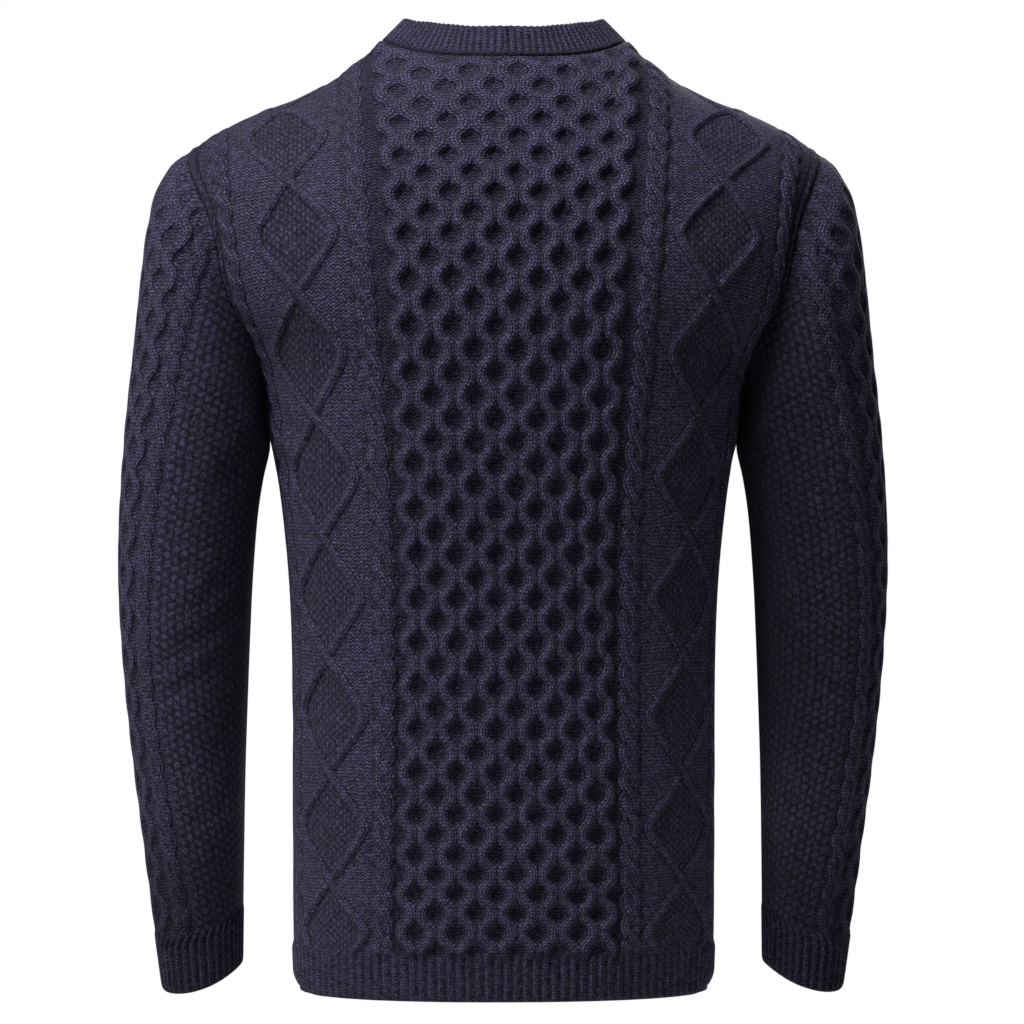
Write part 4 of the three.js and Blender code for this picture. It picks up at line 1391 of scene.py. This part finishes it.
# %% The ribbed strip swept round the neck
def neckband_piece():
    loop, rise, inward = band_frames()
    around = lengths_along(loop)
    fold = BAND_CLOTH / 2
    outer = [(SEAM_GAP + s * (BAND_HEIGHT - fold), 0.0) for s in np.linspace(0, 1, 13)]
    top = [(BAND_HEIGHT - fold + fold * np.sin(a), fold - fold * np.cos(a))
           for a in np.linspace(0, np.pi, 9)[1:-1]]
    inner = [(height, BAND_CLOTH) for height, _ in outer[::-1]]
    profile = np.array(outer + top + inner)
    way = np.gradient(profile, axis=0)
    facing = unit(np.stack([way[:, 1], -way[:, 0]], -1))
    facing *= -np.sign(facing[0, 1])
    wave, rib_wale = ribs(np.arange(len(loop)), BAND_RIB_COLUMNS)
    ends = np.minimum(np.arange(len(profile)), np.arange(len(profile))[::-1])
    strength = np.clip(ends / 2.0, 0, 1)
    from_fold = np.abs(lengths_along(profile) - lengths_along(profile)[-1] / 2)
    strength = strength * (0.35 + 0.65 * soft_step(from_fold / 8))
    relief = BAND_RIB_RISE * (wave[None, :] - 1) / 2 * strength[:, None] + 0.5
    relief[0] = relief[-1] = 0.0
    offset = profile[:, None, :] + facing[:, None, :] * relief[..., None]
    # it stands a little taller at the back corners of the neck
    corner = bell(np.abs(loop[:, 0]) - 58, 24, 4)
    behind = soft_step((SIDE_NECK_X - np.abs(loop[:, 0])) / 22) * (loop[:, 1] > 0)
    offset[..., 0] *= 1 + (0.06 + 0.07 * corner) * behind
    points = (loop[None] + rise[None] * offset[..., :1] + inward[None] * offset[..., 1:])
    rows, count = points.shape[:2]
    r, c = np.meshgrid(np.arange(rows), np.arange(count), indexing="ij")
    after, beside = (r + 1) % rows, (c + 1) % count
    quads = np.stack([r * count + c, r * count + beside, after * count + beside,
                      after * count + c], -1).reshape(-1, 4)
    flat = points.reshape(-1, 3)
    if inside_out(flat, quads):
        quads = quads[:, ::-1]
    every_row = np.ones((rows, 1))
    up = lengths_along(profile)[:, None] * np.ones(count)
    # painted shade in the rib valleys, and a dark band of painted shade at the linked edge
    painted_crease_shade = np.clip(0.3 - wave, 0, 1)[None] * strength[:, None]
    painted_crease_shade[:2] = np.maximum(painted_crease_shade[:2], 0.8)
    knit = soft_step(wave + 0.6)
    notes = {
        "stitch": np.stack([rib_wale * every_row, up / BAND_ROW, knit * every_row], -1),
        "place": np.stack([around * every_row, up, 0 * up + NO_LINE], -1),
        "shade": np.stack([painted_crease_shade, 0 * up, 0 * up], -1),
    }
    notes = {title: values.reshape(-1, 3) for title, values in notes.items()}
    piece = make_piece("neck_ribbing", flat, quads, np.zeros((0, 3), int), notes)
    return piece, float(around[-1])


neck_ribbing, neck_length = neckband_piece()
print("neckband round", round(neck_length, 1), "mm")

# %% [markdown]
# ## Yarn
#
# The loops of yarn are too small for the mesh, so the material draws them from the wale and row
# that each point carries. A knit stitch is a V of two legs. Purl shows as wavy cords across the
# cloth, and moss as staggered grains. The group gives only heights and masks, so that every wool in
# the scene can share it.

# %% A helper that wires nodes
class Wiring:
    """Adds nodes to a tree. A number or a socket may stand for any input."""

    def __init__(self, tree):
        self.tree = tree

    def node(self, kind, inputs=(), out=0, **settings):
        made = self.tree.nodes.new(kind)
        for key, value in settings.items():
            setattr(made, key, value)
        for key, value in (inputs.items() if isinstance(inputs, dict) else enumerate(inputs)):
            self.feed(made.inputs[key], value)
        return made.outputs[out]

    def feed(self, socket, value):
        if isinstance(value, bpy.types.NodeSocket):
            self.tree.links.new(value, socket)
        else:
            socket.default_value = value

    def math(self, operation, *values):
        return self.node("ShaderNodeMath", values, operation=operation)

    def sum(self, a, b):
        return self.math("ADD", a, b)

    def less(self, a, b):
        return self.math("SUBTRACT", a, b)

    def times(self, a, b):
        return self.math("MULTIPLY", a, b)

    def power(self, a, b):
        return self.math("POWER", a, b)

    def spread(self, value, low, high, to_low=0.0, to_high=1.0):
        """The value carried from one range to another, held at the ends."""
        names = {"Value": value, "From Min": low, "From Max": high, "To Min": to_low,
                 "To Max": to_high}
        return self.node("ShaderNodeMapRange", names, interpolation_type="SMOOTHSTEP")

    def blend(self, share, a, b):
        return self.node("ShaderNodeMix", {0: share, 2: a, 3: b}, data_type="FLOAT")

    def vector(self, x=0.0, y=0.0, z=0.0):
        return self.node("ShaderNodeCombineXYZ", (x, y, z))

    def parts(self, vector):
        made = self.tree.nodes.new("ShaderNodeSeparateXYZ")
        self.tree.links.new(vector, made.inputs[0])
        return made.outputs

    def noise(self, place, scale, detail=2.0, roughness=0.5):
        names = {"Vector": place, "Scale": scale, "Detail": detail, "Roughness": roughness}
        return self.node("ShaderNodeTexNoise", names)


# %% A helper for node groups
def new_group(name, inputs, outputs):
    """An empty shader node group with named number or vector sockets."""
    group = bpy.data.node_groups.new(name, "ShaderNodeTree")
    for title, kind in inputs:
        group.interface.new_socket(title, in_out="INPUT", socket_type=kind)
    for title in outputs:
        group.interface.new_socket(title, in_out="OUTPUT", socket_type="NodeSocketFloat")
    return group, group.nodes.new("NodeGroupInput"), group.nodes.new("NodeGroupOutput")


# %% What the group takes in
FULL_TURN = 2 * np.pi
PURL_PITCH = 3.7

NUMBER, VECTOR = "NodeSocketFloat", "NodeSocketVector"
loops, given, made = new_group("yarn loops", [("Stitch", VECTOR), ("Place", VECTOR),
                                              ("Shade", VECTOR), ("Moss Pitch", NUMBER),
                                              ("Moss Rows", NUMBER)],
                               ["Height", "Gap Shade", "Crease Shade", "Outline Shade", "Strand Light", "Painted Shade", "Fleck"])
w = Wiring(loops)
wale, row, strand = w.parts(given.outputs["Stitch"])[:3]
across, up, line = w.parts(given.outputs["Place"])[:3]
# the shade attribute carries painted crease shade, moss and painted shade of sheltered places, welt
# and cuffs
painted_crease_shade, moss, dim = w.parts(given.outputs["Shade"])[:3]

# hands don't pull every loop alike
spot = w.vector(across, up)
sag = w.times(w.less(w.noise(spot, 0.045, 1.0), 0.5), 0.9)
jitter = w.less(w.noise(spot, 0.28, 2.0), 0.5)
loose_row = w.sum(w.sum(row, sag), w.times(jitter, w.blend(moss, 0.9, 2.7)))
loose_across = w.sum(across, w.times(w.less(w.noise(w.vector(up, across), 0.3, 1.0), 0.5), 3.6))
print("the yarn group takes", [title for title in given.outputs.keys() if title])


# %% Three kinds of stitch
def wave_of(phase):
    """A round wave from 0 to 1, once for each whole number of the phase."""
    return w.sum(0.5, w.times(w.math("COSINE", w.times(phase, FULL_TURN)), 0.5))


def knit_stitches(wale, row):
    """Height of stocking stitch: two slanting legs a wale, a rounded loop each row."""
    place = w.math("FRACT", wale)
    from_middle = w.math("ABSOLUTE", w.less(w.times(place, 2.0), 1.0))
    leg = w.math("ABSOLUTE", w.math("SINE", w.times(place, FULL_TURN)))
    phase = w.sum(row, w.times(from_middle, 0.62))
    return w.times(w.power(leg, 0.7), w.sum(0.30, w.times(wave_of(phase), 0.70)))


def grains(pitch, rows):
    """Height of moss: columns of grains, each one half a grain out of step with the next."""
    column = w.math("DIVIDE", loose_across, pitch)
    index = w.math("ROUND", column)
    beside = w.math("COSINE", w.times(w.less(column, index), np.pi))
    phase = w.math("DIVIDE", loose_row, rows)
    phase = w.sum(phase, w.times(index, 0.5))
    return w.times(w.power(beside, 0.8), w.sum(0.16, w.times(wave_of(phase), 0.84)))


def purl_rows():
    """Height of purl: each row is a wavy cord, bent once over every wale."""
    wave = w.math("SINE", w.times(loose_across, FULL_TURN / PURL_PITCH))
    phase = w.sum(loose_row, w.times(wave, 0.24))
    return w.times(w.power(wave_of(phase), 0.8), w.sum(0.86, w.times(wave, 0.14)))


# %% What the group gives out
cords = purl_rows()
ground = w.blend(strand, cords, knit_stitches(wale, loose_row))
seeds = grains(given.outputs["Moss Pitch"], given.outputs["Moss Rows"])
ply = w.noise(spot, 0.72, 4.0, 0.8)
seeds = w.times(seeds, w.sum(0.46, w.times(cords, 0.44)))
seeds = w.sum(0.12, w.times(seeds, w.spread(ply, 0.36, 0.64, 0.62, 1.35)))
height = w.blend(moss, ground, seeds)
fibre = w.noise(spot, 1.9, 3.0, 0.7)
full = w.sum(height, w.times(w.less(ply, 0.5), 0.5))
# a marl yarn changes shade from one leg of a stitch to the next
leg = w.math("FLOOR", w.times(loose_across, 2 / STITCH_WIDTH))
loop = w.math("FLOOR", w.sum(loose_row, w.times(leg, 0.37)))
marl = w.node("ShaderNodeTexWhiteNoise", {"Vector": w.vector(leg, loop)}, noise_dimensions="3D")
results = {
    "Height": w.sum(full, w.times(w.less(fibre, 0.5), 0.5)),
    # painted shade in the gaps between loops and between moss grains
    "Gap Shade": w.math("MAXIMUM", w.spread(height, 0.8, 0.12), w.times(moss, 0.24)),
    # painted shade in creases, cells, channels, rib valleys and seams
    "Crease Shade": painted_crease_shade,
    # painted shadow: thin dark outlines beside the edges of strands and ridges
    "Outline Shade": w.spread(w.math("ABSOLUTE", line), 1.25, 0.3),
    # painted light on the raised strands and ribs
    "Strand Light": strand,
    # painted shade where sleeve and body shelter each other, and on the welt and cuffs
    "Painted Shade": dim,
    "Fleck": w.sum(w.blend(0.3, ply, fibre), w.times(w.less(marl, 0.5), 0.12)),
}
for title, value in results.items():
    w.feed(made.inputs[title], value)
print("yarn loops:", len(loops.nodes), "nodes, gives", list(results))

# %% [markdown]
# ## Dyed wool
#
# The yarn is a dark blue-grey marl: most fibres are near black, and a few paler ones are spun in.
# Wool scatters light softly, and the sheen of its loose fibres brightens the cloth where it turns
# away. A thin rough coat stands for the dull gloss on top of the loops. Shade is painted into the
# colour: the gaps between loops, the creases, thin outlines beside the strands, the sheltered side
# of each sleeve, the welt and the cuffs are darker than the lamps alone would make them, and the
# gloss fades there too. Light is painted onto the raised strands, which are made lighter. The wools
# differ in the size of their stitches: the moss of the sleeves is coarser than that of the
# diamonds.

# %% Three wools
WOOL_COLOUR = (0.057, 0.050, 0.114)


def wool(name, loop_height, gap_shade, crease_shade, marl, moss_pitch, moss_rows):
    """A woollen material. loop_height is the depth of its stitches in millimetres.

    The shades are the colour left where shade is painted into a gap or a crease. marl is how far
    the fibres differ.
    """
    material = bpy.data.materials.new(name)
    material.use_nodes = True
    tree = material.node_tree
    tree.nodes.clear()
    w = Wiring(tree)
    yarn = tree.nodes.new("ShaderNodeGroup")
    yarn.node_tree = loops
    yarn.inputs["Moss Pitch"].default_value = moss_pitch
    yarn.inputs["Moss Rows"].default_value = moss_rows
    for title, attribute in (("Stitch", "stitch"), ("Place", "place"), ("Shade", "shade")):
        w.feed(yarn.inputs[title], w.node("ShaderNodeAttribute", out=1, attribute_name=attribute))
    # painted shade where sleeve and body shelter each other, on welt and cuffs, in creases and
    # along outlines
    painted_shade_factor = w.times(w.blend(yarn.outputs["Painted Shade"], 1.0, 0.2),
                   w.blend(yarn.outputs["Crease Shade"], 1.0, crease_shade))
    # painted shadow: thin dark outlines beside strands and ridges
    painted_shade_factor = w.times(painted_shade_factor, w.blend(yarn.outputs["Outline Shade"], 1.0, 0.55))
    # painted shade in the gaps between loops
    tone = w.times(painted_shade_factor, w.blend(yarn.outputs["Gap Shade"], 1.5, gap_shade))
    # painted light: raised strands and knit ribs are made lighter in colour
    tone = w.times(tone, w.blend(yarn.outputs["Strand Light"], 1.0, 1.2))
    tone = w.times(tone, w.spread(yarn.outputs["Fleck"], 0.36, 0.64, 1 - marl, 1 + 1.05 * marl))
    shaded = w.node("ShaderNodeMix", {0: 1.0, 6: WOOL_COLOUR + (1.0,), 7: tone}, out=2,
                    data_type="RGBA", blend_type="MULTIPLY")
    bump = w.node("ShaderNodeBump", {"Height": yarn.outputs["Height"], "Strength": 1.0,
                                     "Distance": loop_height * MM})
    skin = tree.nodes.new("ShaderNodeBsdfPrincipled")
    w.feed(skin.inputs["Base Color"], shaded)
    w.feed(skin.inputs["Normal"], bump)
    # the dull gloss of the fibres lies on top of the loops only and fades where shade is painted;
    # the nap is even all over
    shine = w.times(painted_shade_factor, w.blend(yarn.outputs["Gap Shade"], 1.0, 0.42))
    w.feed(skin.inputs["Coat Weight"], w.times(shine, 0.75))
    for title, value in (("Roughness", 0.9), ("Specular IOR Level", 0.05), ("Coat Roughness", 0.85),
                         ("Coat IOR", 1.5), ("Sheen Weight", 0.075), ("Sheen Roughness", 0.45),
                         ("Sheen Tint", (0.80, 0.78, 1.0, 1.0))):
        skin.inputs[title].default_value = value
    out = tree.nodes.new("ShaderNodeOutputMaterial")
    tree.links.new(skin.outputs["BSDF"], out.inputs["Surface"])
    return material


cable_yarn = {"loop_height": 2.6, "gap_shade": 0.24, "crease_shade": 0.55, "marl": 0.9}
rib_yarn = {"loop_height": 1.8, "gap_shade": 0.28, "crease_shade": 0.25, "marl": 0.65}
cabled_wool = wool("cabled wool", moss_pitch=3.3, moss_rows=2.2, **cable_yarn)
sleeve_wool = wool("sleeve wool", moss_pitch=5.8, moss_rows=2.6, **cable_yarn)
ribbed_wool = wool("ribbed wool", moss_pitch=3.3, moss_rows=2.2, **rib_yarn)
for piece, its_wool in ((back_panel, cabled_wool), (front_panel, cabled_wool),
                        (sleeve_left, sleeve_wool), (sleeve_right, sleeve_wool),
                        (neck_ribbing, ribbed_wool)):
    piece.data.materials.append(its_wool)
    print(piece.name, "is knitted in", its_wool.name)

# %% [markdown]
# ## Floor
#
# A pale disc below the garment catches its soft shadow in views from above. It fades into the
# white surroundings at its rim, for the camera only, so that it throws no glow on the wool.

# %% Floor
FLOOR_Z, FLOOR_RADIUS = -0.95, 1.4
rim = np.linspace(0, 2 * np.pi, 96, endpoint=False)
corners = [(float(FLOOR_RADIUS * np.cos(a)), float(FLOOR_RADIUS * np.sin(a)), FLOOR_Z) for a in rim]
floor_mesh = bpy.data.meshes.new("floor")
floor_mesh.from_pydata(corners, [], [list(range(len(corners)))])
floor = bpy.data.objects.new("floor", floor_mesh)
bpy.context.scene.collection.objects.link(floor)
paper = bpy.data.materials.new("pale floor")
paper.use_nodes = True
tree = paper.node_tree
tree.nodes.clear()
w = Wiring(tree)
spot = w.node("ShaderNodeTexCoord", out=3)
level_spot = w.node("ShaderNodeVectorMath", {0: spot, 1: (1.0, 1.0, 0.0)}, operation="MULTIPLY")
distance = w.node("ShaderNodeVectorMath", {0: level_spot}, out=1, operation="LENGTH")
matte = tree.nodes.new("ShaderNodeBsdfDiffuse")
matte.inputs["Color"].default_value = (0.86, 0.86, 0.86, 1.0)
glow = tree.nodes.new("ShaderNodeEmission")
glow.inputs["Color"].default_value = (1.0, 1.0, 1.0, 1.0)
both = tree.nodes.new("ShaderNodeMixShader")
seen = w.node("ShaderNodeLightPath", out="Is Camera Ray")
fade = w.spread(distance, 0.45 * FLOOR_RADIUS, 0.97 * FLOOR_RADIUS)
w.feed(both.inputs[0], w.times(fade, seen))
tree.links.new(matte.outputs[0], both.inputs[1])
tree.links.new(glow.outputs[0], both.inputs[2])
out = tree.nodes.new("ShaderNodeOutputMaterial")
tree.links.new(both.outputs[0], out.inputs["Surface"])
floor_mesh.materials.append(paper)
print("floor", 2 * FLOOR_RADIUS, "m wide at height", FLOOR_Z)

# %% [markdown]
# ## Each piece on the body
#
# Each piece rides on the one body and takes over its plain node, which is hidden.

# %% Ride and replace
bpy.context.scene.view_settings.view_transform = "Standard"

for piece, node, slot in ((back_panel, "back", "cabled_wool"),
                          (front_panel, "front", "cabled_wool"),
                          (sleeve_left, "sleeve_left", "cabled_wool"),
                          (sleeve_right, "sleeve_right", "cabled_wool"),
                          (neck_ribbing, "neckband", "ribbed_wool")):
    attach(piece, "root")
    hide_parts(node)
